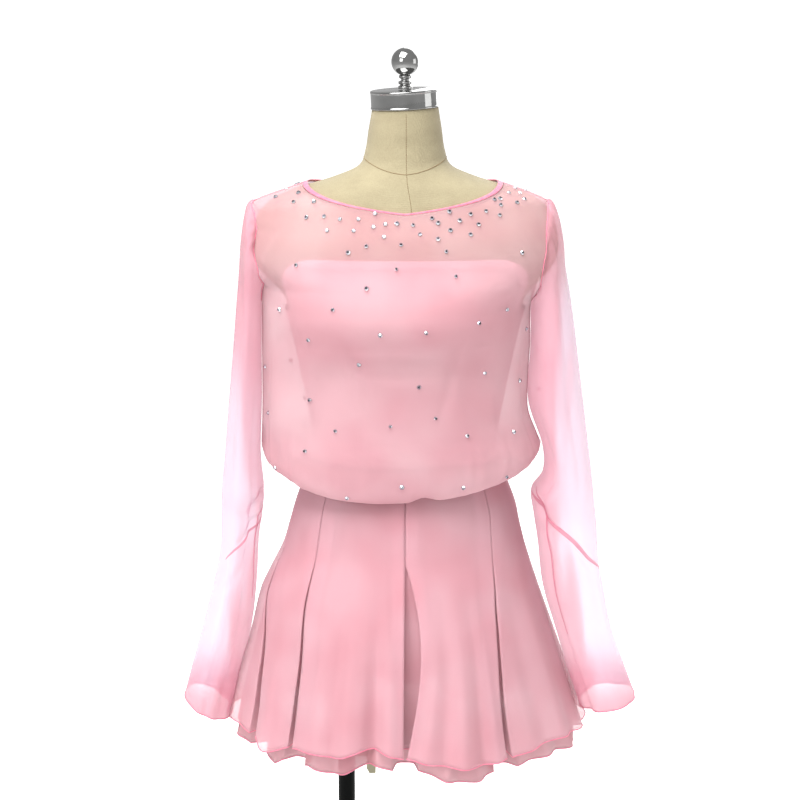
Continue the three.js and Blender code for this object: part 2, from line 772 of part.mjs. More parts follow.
// One row of a skirt panel: two points on each flat stretch and a path through each pleat.
function skirtLine(row, layer, from, to) {
  const path = layer === 'outer' ? outerPleat : underPleat;
  const hemOf = (angle) => read(HEM, 'angle', turnedAngle(angle), layer);
  const heightOf = (angle) => mix(row.level, hemOf(angle), row.share);
  const openAt = (angle) => openness(heightOf(angle), hemOf(angle));
  const flatInward = (angle) => (layer === 'outer' ? 0 : UNDER_LAYER + UNDER_FREE * openAt(angle));
  const middleZ = mix(row.level, HEM_MIDDLE[layer], row.share);
  const inside = PLEATS.flatMap((pleat) => [0, 360].map((turn) => ({ pleat, turn })))
    .filter(({ pleat, turn }) => pleat.waist + turn > from && pleat.waist + turn < to)
    .sort((a, b) => a.pleat.waist + a.turn - b.pleat.waist - b.turn);
  const line = [];
  const put = (angle, shift, inward) => {
    line.push(skirtPoint(heightOf(angle), angle, shift, inward));
  };
  let last = { angle: from, shift: SEAM / 2 };
  const flat = (angle, shift) => {
    for (const part of [1 / 3, 2 / 3]) {
      const between = mix(last.angle, angle, part);
      put(between, mix(last.shift, shift, part), flatInward(between));
    }
  };
  put(from, SEAM / 2, flatInward(from));
  for (const { pleat, turn } of inside) {
    const angle = pleatAngle(pleat, middleZ) + turn;
    const steps = path(pleat, openAt(angle));
    flat(angle, steps[0][0]);
    for (const [shift, inward] of steps) put(angle, shift, inward);
    last = { angle, shift: steps[steps.length - 1][0] };
  }
  flat(to, -SEAM / 2);
  put(to, -SEAM / 2, flatInward(to));
  return line;
}

function makeSkirt(layer, back) {
  const from = back ? SIDE_SEAM : -SIDE_SEAM;
  const to = back ? 360 - SIDE_SEAM : SIDE_SEAM;
  return clothWall(SKIRT_ROWS.map((row) => skirtLine(row, layer, from, to)));
}

// The armhole's seam line, moved out from the bodice by the cloth and the seam's gap.
function armholeLoop(side) {
  const name = side < 0 ? 'left' : 'right';
  const out = SEAM + CLOTH;
  const heights = armholeHeights();
  const half = SLEEVE_SIDES / 2;
  return Array.from({ length: SLEEVE_SIDES }, (_, i) => {
    const z = heights[half - Math.min(i, SLEEVE_SIDES - i)];
    const edge = read(ARMHOLE, 'z', z, name);
    const point = bodicePoint(side * (i < half ? edge : 180 - edge), z);
    return point.setX(point.x + side * out);
  });
}

function sleeveFold(turn, row) {
  return SLEEVE_FOLDS.reduce((sum, fold) => {
    const across = (turn - fold.turn) / fold.spread;
    const ends = smooth((row - fold.from) / 3) * smooth((fold.to + 2 - row) / 3);
    return sum + fold.height * ends * Math.exp(-across * across);
  }, 0);
}

// A sleeve above or below its elbow. The cloth itself has no seam there.
function makeSleeve(side, upper) {
  const rows = side < 0 ? SLEEVE_LEFT : SLEEVE_RIGHT;
  const power = 2 / SLEEVE_SQUARE;
  const rings = rows.map((row, r) => Array.from({ length: SLEEVE_SIDES }, (_, i) => {
    const turn = i / SLEEVE_SIDES;
    const wave = 1 + sleeveFold(turn, r) / row.depth;
    const across = signedPower(Math.cos(turn * 2 * Math.PI), power);
    const forward = signedPower(Math.sin(turn * 2 * Math.PI), power) * wave;
    return new THREE.Vector3(
      side * (mix(row.inX, row.outX, (1 + across) / 2)),
      row.middle - row.depth * forward,
      mix(row.inZ, row.outZ, (1 + across) / 2),
    );
  }));
  rings.unshift(armholeLoop(side));
  const share = 2 * SEAM / rings[ELBOW_RING][0].distanceTo(rings[ELBOW_RING + 1][0]);
  const lowerTop = rings[ELBOW_RING].map((point, i) => point.clone().lerp(rings[ELBOW_RING + 1][i], share));
  const half = upper ? rings.slice(0, ELBOW_RING + 1) : [lowerTop, ...rings.slice(ELBOW_RING + 1)];
  // Rows go up and columns run to +X in front, so the right sleeve's points are turned round.
  half.reverse();
  return clothWall(side < 0 ? half : half.map((ring) => ring.slice().reverse()), true);
}

const CHIFFON = { color: 0xf6bcc8, roughness: 0.7, metalness: 0 };
const LINING = { color: 0xf2b4bd, roughness: 0.75, metalness: 0 };
const TRIM = { color: 0xe58aa0, roughness: 0.7, metalness: 0 };
const LINEN = { color: 0xdfd2b2, roughness: 0.9, metalness: 0 };
const CHROME = { color: 0xc9c9c9, roughness: 0.15, metalness: 1 };
const BLACK = { color: 0x141414, roughness: 0.45, metalness: 0.2 };
const BEIGE = { color: 0xbfb999, roughness: 0.7, metalness: 0 };

const dress = new THREE.Group();
const stand = new THREE.Group();

function place(group, name, geometry, finish, x = 0, z = 0) {
  const mesh = new THREE.Mesh(geometry, new THREE.MeshStandardMaterial(finish));
  mesh.name = name;
  mesh.position.set(x, 0, z);
  group.add(mesh);
  return mesh;
}

place(dress, 'bodice_front', makeBodice(false), CHIFFON);
place(dress, 'bodice_back', makeBodice(true), CHIFFON);
place(dress, 'neck_binding', makeBinding(), TRIM);
place(dress, 'under_bodice_front', makeUnderBodice(false), LINING);
place(dress, 'under_bodice_back', makeUnderBodice(true), LINING);
place(dress, 'sleeve_left_upper', makeSleeve(-1, true), CHIFFON);
place(dress, 'sleeve_left_lower', makeSleeve(-1, false), CHIFFON);
place(dress, 'sleeve_right_upper', makeSleeve(1, true), CHIFFON);
place(dress, 'sleeve_right_lower', makeSleeve(1, false), CHIFFON);
place(dress, 'skirt_outer_front', makeSkirt('outer', false), CHIFFON);
place(dress, 'skirt_outer_back', makeSkirt('outer', true), CHIFFON);
place(dress, 'skirt_under_front', makeSkirt('under', false), CHIFFON);
place(dress, 'skirt_under_back', makeSkirt('under', true), CHIFFON);

const capFoot = NECK_TOP_Z + SEAM + 0.1;
const stemFoot = capFoot + CAP_HEIGHT + SEAM + COLLAR_RADIUS * Math.tan(CAP_TILT * DEGREE);
const ballFoot = BALL_Z - BALL_RADIUS * Math.sin(66 * DEGREE);

place(stand, 'form_torso', makeForm(), LINEN);
const cap = place(stand, 'neck_cap', makeCap(), CHROME, 0, capFoot);
cap.rotation.y = -CAP_TILT * DEGREE;
place(stand, 'finial_stem', makeStem(ballFoot - SEAM - stemFoot), CHROME, 0, stemFoot);
place(stand, 'finial_ball', makeBall(), CHROME, 0, BALL_Z);
place(stand, 'pole_socket', makeSocket(), BEIGE);
place(stand, 'pole', makePole(), BLACK, POLE_X, PLATE_HEIGHT + SEAM);
place(stand, 'base_plate', makePlate(), BLACK);

const part = new THREE.Group();
part.add(stand, dress);

export default part;
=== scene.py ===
"""A figure skating dress of sheer pink chiffon on a limbless dress form with pole and foot plate.

The tables and sizes are in millimetres and become metres when a mesh is made.
+Z is up, the front of the dress faces -Y, and angles are degrees from the centre front towards +X.
"""
import math

import bpy
import numpy as np
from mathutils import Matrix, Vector
from mathutils.bvhtree import BVHTree


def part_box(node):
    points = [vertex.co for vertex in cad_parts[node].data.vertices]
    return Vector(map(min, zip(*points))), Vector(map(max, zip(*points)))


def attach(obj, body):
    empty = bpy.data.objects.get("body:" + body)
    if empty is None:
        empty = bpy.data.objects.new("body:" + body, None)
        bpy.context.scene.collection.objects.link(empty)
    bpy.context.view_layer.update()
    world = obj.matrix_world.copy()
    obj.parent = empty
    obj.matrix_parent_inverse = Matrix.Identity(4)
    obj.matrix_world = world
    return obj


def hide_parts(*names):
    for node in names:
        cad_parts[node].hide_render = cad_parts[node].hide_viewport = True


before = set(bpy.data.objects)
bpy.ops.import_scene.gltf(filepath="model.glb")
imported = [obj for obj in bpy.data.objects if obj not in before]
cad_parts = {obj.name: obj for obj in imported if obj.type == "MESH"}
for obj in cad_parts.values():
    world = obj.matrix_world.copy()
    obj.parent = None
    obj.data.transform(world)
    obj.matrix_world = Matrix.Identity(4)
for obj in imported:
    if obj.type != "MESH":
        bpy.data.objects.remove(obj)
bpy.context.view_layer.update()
MM = 0.001

# Camera of the photograph
CAMERA_PLACE = (-0.0065, -3.0, 1.59)
CAMERA_AIM = (-0.0065, 0.0, 0.96)
IMAGE_SIDE = 800
FOCAL_PIXELS = 2363
SENSOR = 36.0

# Cloth
WALL = 0.5
SEAM = 0.3
CLOTH = 1.2
LAYER = 1.7
UNDER_BODICE_EASE = 1.6
BUST_EASE = 3.7
BODICE_EASE = 8.5
YOKE_EASE = 3.2
YOKE_LIFT = 1.5
ARMPIT_DROP = 4
HEM_RADIUS = 0.8
SEAM_RADIUS = 0.6

# Bodice
UNDERARM_Z = 1090
ARMHOLE_TOP_Z = 1221
NECK_FRONT_Z = 1214
NECK_BACK_Z = 1228
NECK_SIDE_Z = 1245
BINDING_WIDTH = 2.2
WAIST_Z = 880
WAIST_STEP = 2.5
ROLL_RISE = 20
ROLL_DROP = 7
BUST_EDGE_FRONT_Z = 1158
BUST_EDGE_BACK_Z = 1112
BUST_EDGE_SIDE_Z = 1084
BUST_BAND = 11
BAND_EASE = 0.7
BODICE_COLUMNS = 110
ROLL_ROWS = 11
BODY_ROWS = 43
YOKE_ROWS = 34
UNDER_COLUMNS = 90
UNDER_ROWS = 44
UNDER_HALF = 118

# Skirt
SKIRT_TOP_Z = 885
STITCH_END_Z = 770
UNDER_LAYER = 5.1
UNDER_FREE = 6
UNDER_DIP = 2.5
UNDER_SLOPE = 7
UNDERLAY_HALF = 20
HEM_UNDERLAY = 8
EDGE_GAP = 0.5
SIDE_SEAM = 110.5
HEM_MIDDLE = {"outer": 538, "under": 518}
PANEL_CROWN = 5
PLEAT_POINTS = {"outer": 41, "under": 21}
FLAT_POINTS = 44
PLEATED_ROWS = 40
STITCHED_ROWS = 16

# Form and stand
NECK_TOP_Z = 1337
NECK_TILT_Z = 1300
STUB_FOOT_Z = 572
STUB_SQUARE = 2.2
CAP_TILT = 2.7
CAP_RADIUS = 43.7
CAP_HEIGHT = 23.2
BALL_RADIUS = 17.6
BALL_Z = 1395.5
PLATE_RADIUS = 190
PLATE_HEIGHT = 10
POLE_RADIUS = 11.15
POLE_X = -78
SOCKET_FOOT_Z = 478

# Studio
WORLD_LIGHT = 0.5
WORLD_SEEN = 1.1
FLOOR_HALF = 150.0


def table(columns, *rows):
    """Rows of numbers as one array for each named column."""
    return {name: np.array([row[i] for row in rows], float) for i, name in enumerate(columns.split())}


FORM = table(
    "z half front back square",
    (622, 40, 40, 46, 2.0),
    (632, 96, 78, 88, 2.2),
    (655, 141, 95, 108, 2.2),
    (700, 151, 98, 113, 2.2),
    (750, 145, 95, 107, 2.2),
    (800, 135, 90, 95, 2.2),
    (862, 121, 84.3, 80, 2.2),
    (885, 118, 82.6, 77, 2.2),
    (905, 117, 82, 76, 2.2),
    (940, 121, 84, 78, 2.2),
    (990, 129.5, 90, 82, 2.2),
    (1030, 137, 106, 84, 2.2),
    (1060, 144, 120, 85, 2.2),
    (1080, 148.5, 125, 86, 2.25),
    (1098, 154, 124.5, 87, 2.3),
    (1112, 164, 122, 88, 2.35),
    (1126, 178, 117.5, 88, 2.4),
    (1140, 190, 112.5, 88, 2.4),
    (1156, 195.5, 107.5, 88, 2.4),
    (1181, 194, 99, 85.5, 2.4),
    (1200, 189, 90, 80, 2.4),
    (1212, 181, 84, 75, 2.35),
    (1222, 169, 79, 70.5, 2.3),
    (1233, 146, 73, 66, 2.2),
    (1241, 121, 69, 62, 2.1),
    (1250, 92, 63, 58, 2.0),
    (1264, 60, 55, 52, 2.0),
    (1285, 50.5, 49, 47.5, 2.0),
    (1310, 46.6, 46, 45, 2.0),
    (1337, 42, 42, 42, 2.0),
)

STUB = table(
    "z middle half front back",
    (572, 83, 35, 58, 60),
    (584, 84, 40, 64, 67),
    (620, 83, 55, 78, 84),
    (660, 76, 64, 88, 98),
    (690, 74, 62, 84, 96),
)

LOOSE = table(
    "z left right front back",
    (845, 183, 176, 113, 106),
    (880, 184, 176.5, 119, 110),
    (900, 184, 176.5, 122, 112),
    (916, 184, 171, 121.5, 113),
    (950, 184, 159, 116, 112),
    (1000, 184, 159, 115, 109),
    (1040, 184, 161, 124, 105),
    (1080, 183.5, 160.5, 130.5, 101),
    (1110, 183, 162.5, 126, 96),
    (1130, 183, 163, 117, 90),
    (1190, 197.5, 176, 90, 80),
    (1207, 196, 180, 86, 76),
    (1220, 192, 181, 80, 71),
    (1233, 159, 153, 74, 67),
    (1246, 121, 115, 66, 60),
)

ARMHOLE = table(
    "z left right",
    (1090, 90, 90),
    (1098, 86, 86),
    (1110, 81, 75),
    (1125, 72, 61),
    (1141, 64.5, 55),
    (1166, 66.5, 57),
    (1190, 68.5, 61),
    (1207, 73.5, 69),
    (1216, 82, 79),
    (1222, 90, 90),
)

BLOUSE_EDGE = table(
    "angle z",
    (-180, 858),
    (-135, 862),
    (-90, 880),
    (-58, 868),
    (-45, 858),
    (-24, 849),
    (0, 849),
    (7, 857),
    (14, 853),
    (32, 861),
    (57, 875),
    (75, 884),
    (90, 884),
    (135, 864),
    (180, 858),
)

# Soft folds of the overlay, the large ones first. A trough has a negative height.
BODICE_FOLDS = table(
    "angle lean low high spread height",
    (-34, 16, 900, 1050, 9, -4),
    (-58, -4, 880, 1010, 10, 3),
    (30, -20, 900, 1050, 9, -4),
    (58, 6, 880, 1000, 10, 3),
    (0, 0, 1000, 1040, 24, -3),
    (150, -8, 890, 1060, 11, -4),
    (-150, 8, 890, 1060, 11, -4),
    (-16, -16, 915, 1068, 3.0, -2.8),
    (19, 14, 935, 1078, 3.0, -2.8),
    (-45, 7, 870, 985, 3.4, 1.8),
    (43, -8, 875, 1000, 3.0, 1.9),
    (70, -4, 890, 1080, 4.0, -2.0),
    (-72, 4, 890, 1090, 4.5, -2.2),
    (48, -22, 1120, 1205, 3.0, 1.6),
    (40, -26, 1100, 1190, 2.6, -1.5),
    (-52, 18, 1130, 1210, 2.8, 1.3),
    (130, -10, 900, 1090, 3.6, 2.0),
    (-128, 12, 900, 1080, 3.8, -2.0),
    (172, 5, 880, 1000, 3.4, 1.8),
)

SKIRT = table(
    "z left right front back square",
    (525, 231, 236, 207, 210, 2.0),
    (551, 226, 227, 202, 204, 2.0),
    (579, 219, 218, 195, 197, 2.0),
    (607, 212, 208.5, 187, 189, 2.0),
    (635, 204, 199.5, 178, 181, 2.0),
    (660, 198, 191.5, 170, 173, 2.0),
    (686, 193, 183, 160, 163, 2.0),
    (711, 187, 175, 149, 153, 2.0),
    (735, 176, 167.5, 138, 142, 2.05),
    (770, 159.5, 157, 121, 123, 2.1),
    (800, 150.5, 149.5, 111, 112, 2.15),
    (826, 143, 144, 104, 104, 2.2),
    (862, 131, 131, 94.8, 91, 2.2),
    (885, 128, 128, 92.7, 87.4, 2.2),
)

PLEATS = table(
    "waist hem left right swing depth ridge",
    (-133, -120, 6, 10, 0, 30, 0),
    (-88, -61, 3, 12, 0, 26, 0),
    (-46.5, -40, 3, 4, 0, 26, 0),
    (0, 0, 2, 2, 19, 34, 0),
    (48, 34.6, 4, 4, 0, 26, 0),
    (88, 88, 8, 8, 0, 24, 0),
    (133, 140, 10, 6, 0, 30, 0),
    (180, 180, 14, 14, 0, 34, 10),
)

HEM = table(
    "angle outer under",
    (-180, 534, 518),
    (-120, 538, 520),
    (-85, 541, 524),
    (-62, 541, 521),
    (-50, 531, 512),
    (-38, 543, 521),
    (-23, 541, 517),
    (-12, 552, 530),
    (0, 544, 526),
    (12, 534, 512),
    (25, 529, 508),
    (36, 534, 516),
    (55, 540, 520),
    (66, 537, 516),
    (80, 528, 512),
    (92, 523, 508),
    (130, 536, 520),
    (180, 534, 518),
)

# Waves of the two hems, each standing out or in and dying away upwards.
WAVES = table(
    "angle spread outer under",
    (-168, 6, 5, -7),
    (-150, 5, -4, 6),
    (-128, 7, 4, -5),
    (-104, 5, -5, 7),
    (-84, 6, 4, -6),
    (-70, 4, -3, 5),
    (-52, 5, 5, -4),
    (-33, 4, 4, 6),
    (-25, 3, -4, -5),
    (-19, 3, 4, 5),
    (-10.5, 3.2, -16, -13),
    (-4, 2.4, 4, 0),
    (6, 2.6, 4, -4),
    (12, 2.6, -5, 6),
    (18, 3, 7, -4),
    (26, 3, -8, 5),
    (31, 2.4, 4, -3),
    (42, 4, 3, -5),
    (50, 4, -4, 5),
    (60, 4, 5, -5),
    (70, 5, -4, 6),
    (98, 6, 5, -6),
    (120, 6, -5, 6),
    (152, 6, 4, -5),
    (168, 5, -4, 6),
)

# Sections of the sleeves from the shoulder to the cuff, distances the same way for both sides.
SLEEVE_COLUMNS = "outX outZ inX inZ depth middle"
SLEEVES = {
    -1: table(
        SLEEVE_COLUMNS,
        (200.5, 1213, 186.6, 1087, 62, 2),
        (206, 1193, 187, 1083, 64, 2),
        (210, 1165, 187.2, 1078, 64, 2),
        (212.5, 1130, 187.4, 1070, 63, 1),
        (216, 1091, 187.6, 1052, 62, 0),
        (220.5, 1039, 187.6, 1025, 60, -1),
        (228, 960, 187.6, 960, 57, -3),
        (234, 893, 187.6, 893, 56, -4),
        (238.5, 850, 184.4, 846, 57, -5),
        (239.5, 820, 185, 826, 52, -4),
        (240, 794, 187.5, 806, 56, -4),
        (242, 764, 192, 774, 60, -4),
        (252, 716, 195.5, 716, 62, -4),
        (266, 662, 203, 656, 60, -5),
        (281, 607, 217.5, 600, 58, -6),
        (291.8, 566, 229.5, 538, 57, -6),
    ),
    1: table(
        SLEEVE_COLUMNS,
        (189, 1215, 164, 1086, 66, 2),
        (197, 1196, 164.4, 1082, 67, 2),
        (202.5, 1168, 164.6, 1077, 66, 2),
        (205, 1138, 164.8, 1068, 65, 1),
        (212, 1098, 164.8, 1052, 64, 0),
        (219.5, 1045, 164.8, 1025, 62, -1),
        (230.5, 960, 165.5, 962, 60, -3),
        (238.5, 898, 180.5, 904, 58, -4),
        (243.5, 858, 180, 866, 58, -5),
        (247, 826, 165, 842, 60, -6),
        (250.5, 794, 168, 812, 56, -7),
        (253, 752, 174, 774, 60, -8),
        (259.5, 717, 181, 716, 60, -9),
        (270.5, 662, 198, 658, 58, -10),
        (287, 612, 214, 606, 56, -11),
        (303, 568, 232, 553, 55, -12),
    ),
}
SLEEVE_SQUARE = 2.3
SLEEVE_AROUND = 96
SLEEVE_DOWN = 150
BESIDE_LOW_Z = 880
BESIDE_FREE = 0.8
CUFF_ROW = 12.5
CUFF_WAVE = 1.6
TURN_LENGTH = 330
ROW_LENGTH = 38
FOLD_LIFT = 1.0
FOLD_THICK = 0.5

# Long folds of the sleeves: turn round the sleeve from its outer edge over the front, and rows down it.
SLEEVE_FOLDS = table(
    "side turn drift spread start end height",
    (-1, 0.14, 0.02, 0.045, 1, 7, -5),
    (-1, 0.26, -0.05, 0.040, 3, 15, 4),
    (-1, 0.38, -0.04, 0.040, 5, 15, -6),
    (-1, 0.20, 0.05, 0.020, 8, 15, -3),
    (-1, 0.64, 0.03, 0.050, 4, 15, -6),
    (-1, 0.82, -0.02, 0.050, 6, 15, -5),
    (-1, 0.72, 0.04, 0.025, 1, 9, 3),
    (1, 0.16, 0.03, 0.040, 1, 8, -4),
    (1, 0.28, 0.04, 0.045, 4, 15, 4),
    (1, 0.40, -0.03, 0.035, 5, 15, -6),
    (1, 0.12, -0.03, 0.030, 9, 15, 4),
    (1, 0.62, 0.02, 0.050, 4, 15, -6),
    (1, 0.84, -0.03, 0.045, 6, 15, -5),
    (1, 0.74, 0.03, 0.025, 2, 10, 3),
)

# Creases at the elbows, from one turn and row to another.
CREASES = table(
    "side turn row to_turn to_row width depth",
    (-1, 0.47, 8.0, 0.33, 9.4, 6.0, -7),
    (-1, 0.42, 9.6, 0.24, 10.6, 5.0, -4),
    (-1, 0.36, 11.0, 0.20, 11.9, 4.5, -3),
    (-1, 0.53, 8.2, 0.66, 9.6, 6.0, -6),
    (1, 0.46, 9.2, 0.36, 9.8, 9.0, -3),
    (1, 0.36, 9.8, 0.12, 11.1, 9.0, -3.5),
    (1, 0.44, 9.6, 0.24, 11.6, 9.0, 2.5),
    (1, 0.58, 9.0, 0.70, 10.2, 9.0, -3),
)

# Cloth folded over at the elbows: half the width and the way, as turn and row.
ELBOW_FOLDS = (
    (1, 2.8, ((0.49, 8.9), (0.43, 9.25), (0.34, 9.8), (0.20, 10.6), (0.08, 11.25))),
    (1, 1.6, ((0.47, 8.6), (0.41, 9.2), (0.37, 10.2), (0.36, 11.4), (0.38, 13.0))),
    (-1, 1.7, ((0.48, 9.8), (0.40, 10.15), (0.28, 10.6), (0.17, 11.1))),
    (-1, 1.2, ((0.46, 9.0), (0.42, 9.7), (0.41, 10.6), (0.42, 12.2))),
)

# Places of the crystals on the front, in pixels of the photograph.
STONES = (
    (308, 188), (286.4, 189.3), (275.9, 197.5), (298.7, 193.3), (293.8, 202.3), (314, 201.8),
    (337.3, 203.5), (306.2, 217.2), (324, 216.3), (339.8, 219), (358.3, 219), (375, 213.4),
    (327, 230.4), (353.5, 230.8), (373.4, 226.8), (385.3, 224.2), (396.9, 223.6), (384, 236.8),
    (366.2, 246.2), (348, 252.6), (412.4, 215.1), (413, 225.2), (420, 234.4), (401, 244.8),
    (432, 218.2), (438, 223), (438, 239), (446.4, 251.5), (449.4, 211.4), (450.4, 230.3),
    (459.7, 220.5), (470.6, 214.2), (470.6, 234.5), (478.6, 224.4), (481.7, 199.2), (486, 211),
    (494.2, 199.7), (500, 199), (500.7, 205), (499.5, 215.1), (502.5, 186), (508.7, 193.1),
    (515, 188.6), (519.8, 193.5), (525.2, 190.4), (524.1, 199.5), (516.8, 202.9), (522, 252.7),
    (296.2, 265), (396.4, 269.2), (456, 276.2), (366.4, 288.4), (280, 309.5), (332.7, 309.8),
    (506.8, 309.5), (479, 323), (525.8, 328.7), (426.1, 333.2), (380, 335.6), (308.5, 340),
    (359, 364.5), (265.6, 366.5), (484.8, 373), (519, 380.6), (419, 387.2), (309.8, 400),
    (268.8, 412.8), (435.7, 418.2), (390.5, 426.5), (335.4, 431), (513.5, 432), (467, 435.8),
    (305, 451), (532.7, 462.4), (275.5, 467.5), (506.5, 476.7), (401.9, 487.2), (463.4, 487.9),
    (347, 498),
)
STONE_RADIUS = 3.0
STONE_SIDES = 8


def smooth(t):
    """From 0 to 1 with soft ends."""
    t = np.clip(t, 0, 1)
    return t * t * (3 - 2 * t)


def mix(a, b, t):
    """A value between two."""
    return a + (b - a) * t


def turned_angle(angle):
    """The same direction from -180 to 180."""
    return (np.asarray(angle, float) + 180) % 360 - 180


def curve(start, end, leave, arrive, t):
    """A smooth curve from one value to another with given slopes at its ends."""
    rise = t * t * (3 - 2 * t)
    bends = leave * t * (1 - t) ** 2 - arrive * t * t * (1 - t)
    return start * (1 - rise) + end * rise + bends


def read(rows, value, column):
    """A column of a table, read smoothly between its rows by the table's first column."""
    x, y = next(iter(rows.values())), rows[column]
    count = len(x)
    before = np.maximum(np.arange(count) - 1, 0)
    after = np.minimum(np.arange(count) + 1, count - 1)
    slope = (y[after] - y[before]) / (x[after] - x[before])
    value = np.clip(np.asarray(value, float), x[0], x[-1])
    i = np.clip(np.searchsorted(x, value, side="right") - 1, 0, count - 2)
    span = x[i + 1] - x[i]
    return curve(y[i], y[i + 1], slope[i] * span, slope[i + 1] * span, (value - x[i]) / span)


def on_oval(section, angle, z):
    """Points of level ovals, by the angle from the centre front."""
    angle = np.asarray(angle, float)
    sine, cosine = np.sin(np.radians(angle)), np.cos(np.radians(angle))
    power = 2 / section["square"]
    sine = np.sign(sine) * np.abs(sine) ** power
    cosine = np.sign(cosine) * np.abs(cosine) ** power
    reach = np.where(sine < 0, section["left"], section["right"])
    depth = np.where(cosine > 0, section["front"], section["back"])
    return np.stack(np.broadcast_arrays(reach * sine, -depth * cosine, z), -1)


def even_section(half, front, back, square):
    """A level section that reaches as far to the left as to the right."""
    return {"left": half, "right": half, "front": front, "back": back, "square": square}


def form_section(z, ease):
    """The form's level section, moved out by an ease."""
    half, front, back = (read(FORM, z, column) + ease for column in ("half", "front", "back"))
    return even_section(half, front, back, read(FORM, z, "square"))


SIDES = ("left", "right", "front", "back")


def loose_section(z):
    """The overlay lies on the form at the yoke and hangs free of it below."""
    ease = mix(BODICE_EASE, YOKE_EASE, smooth((z - BUST_EDGE_FRONT_Z) / 50))
    lift = mix(-ARMPIT_DROP, YOKE_LIFT, smooth((z - BUST_EDGE_FRONT_Z) / 30))
    near = form_section(z - lift, ease)
    for side in SIDES:
        near[side] = np.maximum(near[side], read(LOOSE, z, side))
    return near


def skirt_section(z):
    """The skirt's level section."""
    return {column: read(SKIRT, z, column) for column in SIDES + ("square",)}


def gathers_of(seed, step, reach_low, reach_high, height):
    """Small gathers round a seam, unevenly spaced."""
    draw = np.random.default_rng(seed)
    places = np.arange(-180, 180, step)
    count = len(places)
    return {
        "angle": places + draw.uniform(-0.35, 0.35, count) * step,
        "spread": draw.uniform(0.2, 0.36, count) * step,
        "reach": draw.uniform(reach_low, reach_high, count),
        "height": draw.uniform(0.5, 1.0, count) * height,
    }


WAIST_GATHERS = gathers_of(11, 8.2, 22, 70, 3.0)


def gather_height(gathers, angle, rise):
    """How far the gathers stand out at an angle and a height over their seam."""
    total = 0
    for place, spread, reach, height in zip(*gathers.values()):
        across = turned_angle(angle - place) / spread
        total = total + height * np.exp(-across * across) * np.exp(-((rise / reach) ** 2))
    return total


def fold_height(angle, z):
    """How far the overlay's folds stand out."""
    total = 0
    for place, lean, low, high, spread, height in zip(*BODICE_FOLDS.values()):
        along = (z - low) / (high - low)
        across = turned_angle(angle - place - lean * (along - 0.5)) / spread
        total = total + height * smooth(along * 3) * smooth((1 - along) * 3) * np.exp(-across * across)
    return total


def bodice_point(angle, z):
    """A point of the overlay."""
    angle, z = np.broadcast_arrays(np.asarray(angle, float), np.asarray(z, float))
    section = loose_section(z)
    rise = z - read(BLOUSE_EDGE, turned_angle(angle), "z")
    move = fold_height(angle, z) + gather_height(WAIST_GATHERS, angle, rise)
    for side in SIDES:
        section[side] = section[side] + move
    return on_oval(section, angle, z)


def neck_height(angle):
    """Height of the overlay's neck edge."""
    middle = np.where(np.cos(np.radians(angle)) > 0, NECK_FRONT_Z, NECK_BACK_Z)
    return mix(middle, NECK_SIDE_Z, np.abs(np.sin(np.radians(angle))))


def panel_edge(z, side):
    """Edge of a bodice panel in degrees from its centre line."""
    edge = 90.0 if z < UNDERARM_Z else float(read(ARMHOLE, z, side))
    return min(edge, 90 - math.degrees(SEAM / 2 / float(read(LOOSE, z, side))))


def panel_angles(z, back, count):
    """Angles of one row of a bodice panel."""
    first = panel_edge(z, "right" if back else "left")
    last = panel_edge(z, "left" if back else "right")
    return np.linspace(-first, last, count) + (180 if back else 0)


def bodice_grid(back):
    """The blouse from the waist seam over its roll up to the neckline."""
    angle = panel_angles(WAIST_Z, back, BODICE_COLUMNS)
    foot = read(BLOUSE_EDGE, turned_angle(angle), "z")
    waist = skirt_section(np.full(BODICE_COLUMNS, float(WAIST_Z)))
    for side in SIDES:
        waist[side] = waist[side] + WAIST_STEP
    seam = on_oval(waist, angle, WAIST_Z)
    wide = bodice_point(angle, foot + ROLL_RISE)
    near, far = mix(seam, wide, 0.2), mix(seam, wide, 0.95)
    near[:, 2] = far[:, 2] = foot - ROLL_DROP
    rows = []
    for t in np.linspace(0, 1, ROLL_ROWS + 1)[:-1]:
        a, b, c, d = (1 - t) ** 3, 3 * t * (1 - t) ** 2, 3 * t * t * (1 - t), t ** 3
        rows.append(a * seam + b * near + c * far + d * wide)
    for share in np.linspace(0, 1, BODY_ROWS + 1)[:-1]:
        rows.append(bodice_point(angle, mix(foot + ROLL_RISE, UNDERARM_Z, share)))
    top_z = NECK_SIDE_Z - BINDING_WIDTH - SEAM
    for edge_z in np.linspace(UNDERARM_Z, top_z, YOKE_ROWS):
        share = (edge_z - UNDERARM_Z) / (top_z - UNDERARM_Z)
        angle = panel_angles(edge_z, back, BODICE_COLUMNS)
        top = neck_height(angle) - BINDING_WIDTH - SEAM
        rows.append(bodice_point(angle, mix(UNDERARM_Z, top, share)))
    return np.array(rows)


def bust_edge(angle):
    """Height of the strapless under-bodice's upper edge."""
    cosine = np.cos(np.radians(angle))
    middle = np.where(cosine > 0, BUST_EDGE_FRONT_Z, BUST_EDGE_BACK_Z)
    return mix(middle, BUST_EDGE_SIDE_Z, smooth((1 - np.abs(cosine) - 0.13) / 0.6))


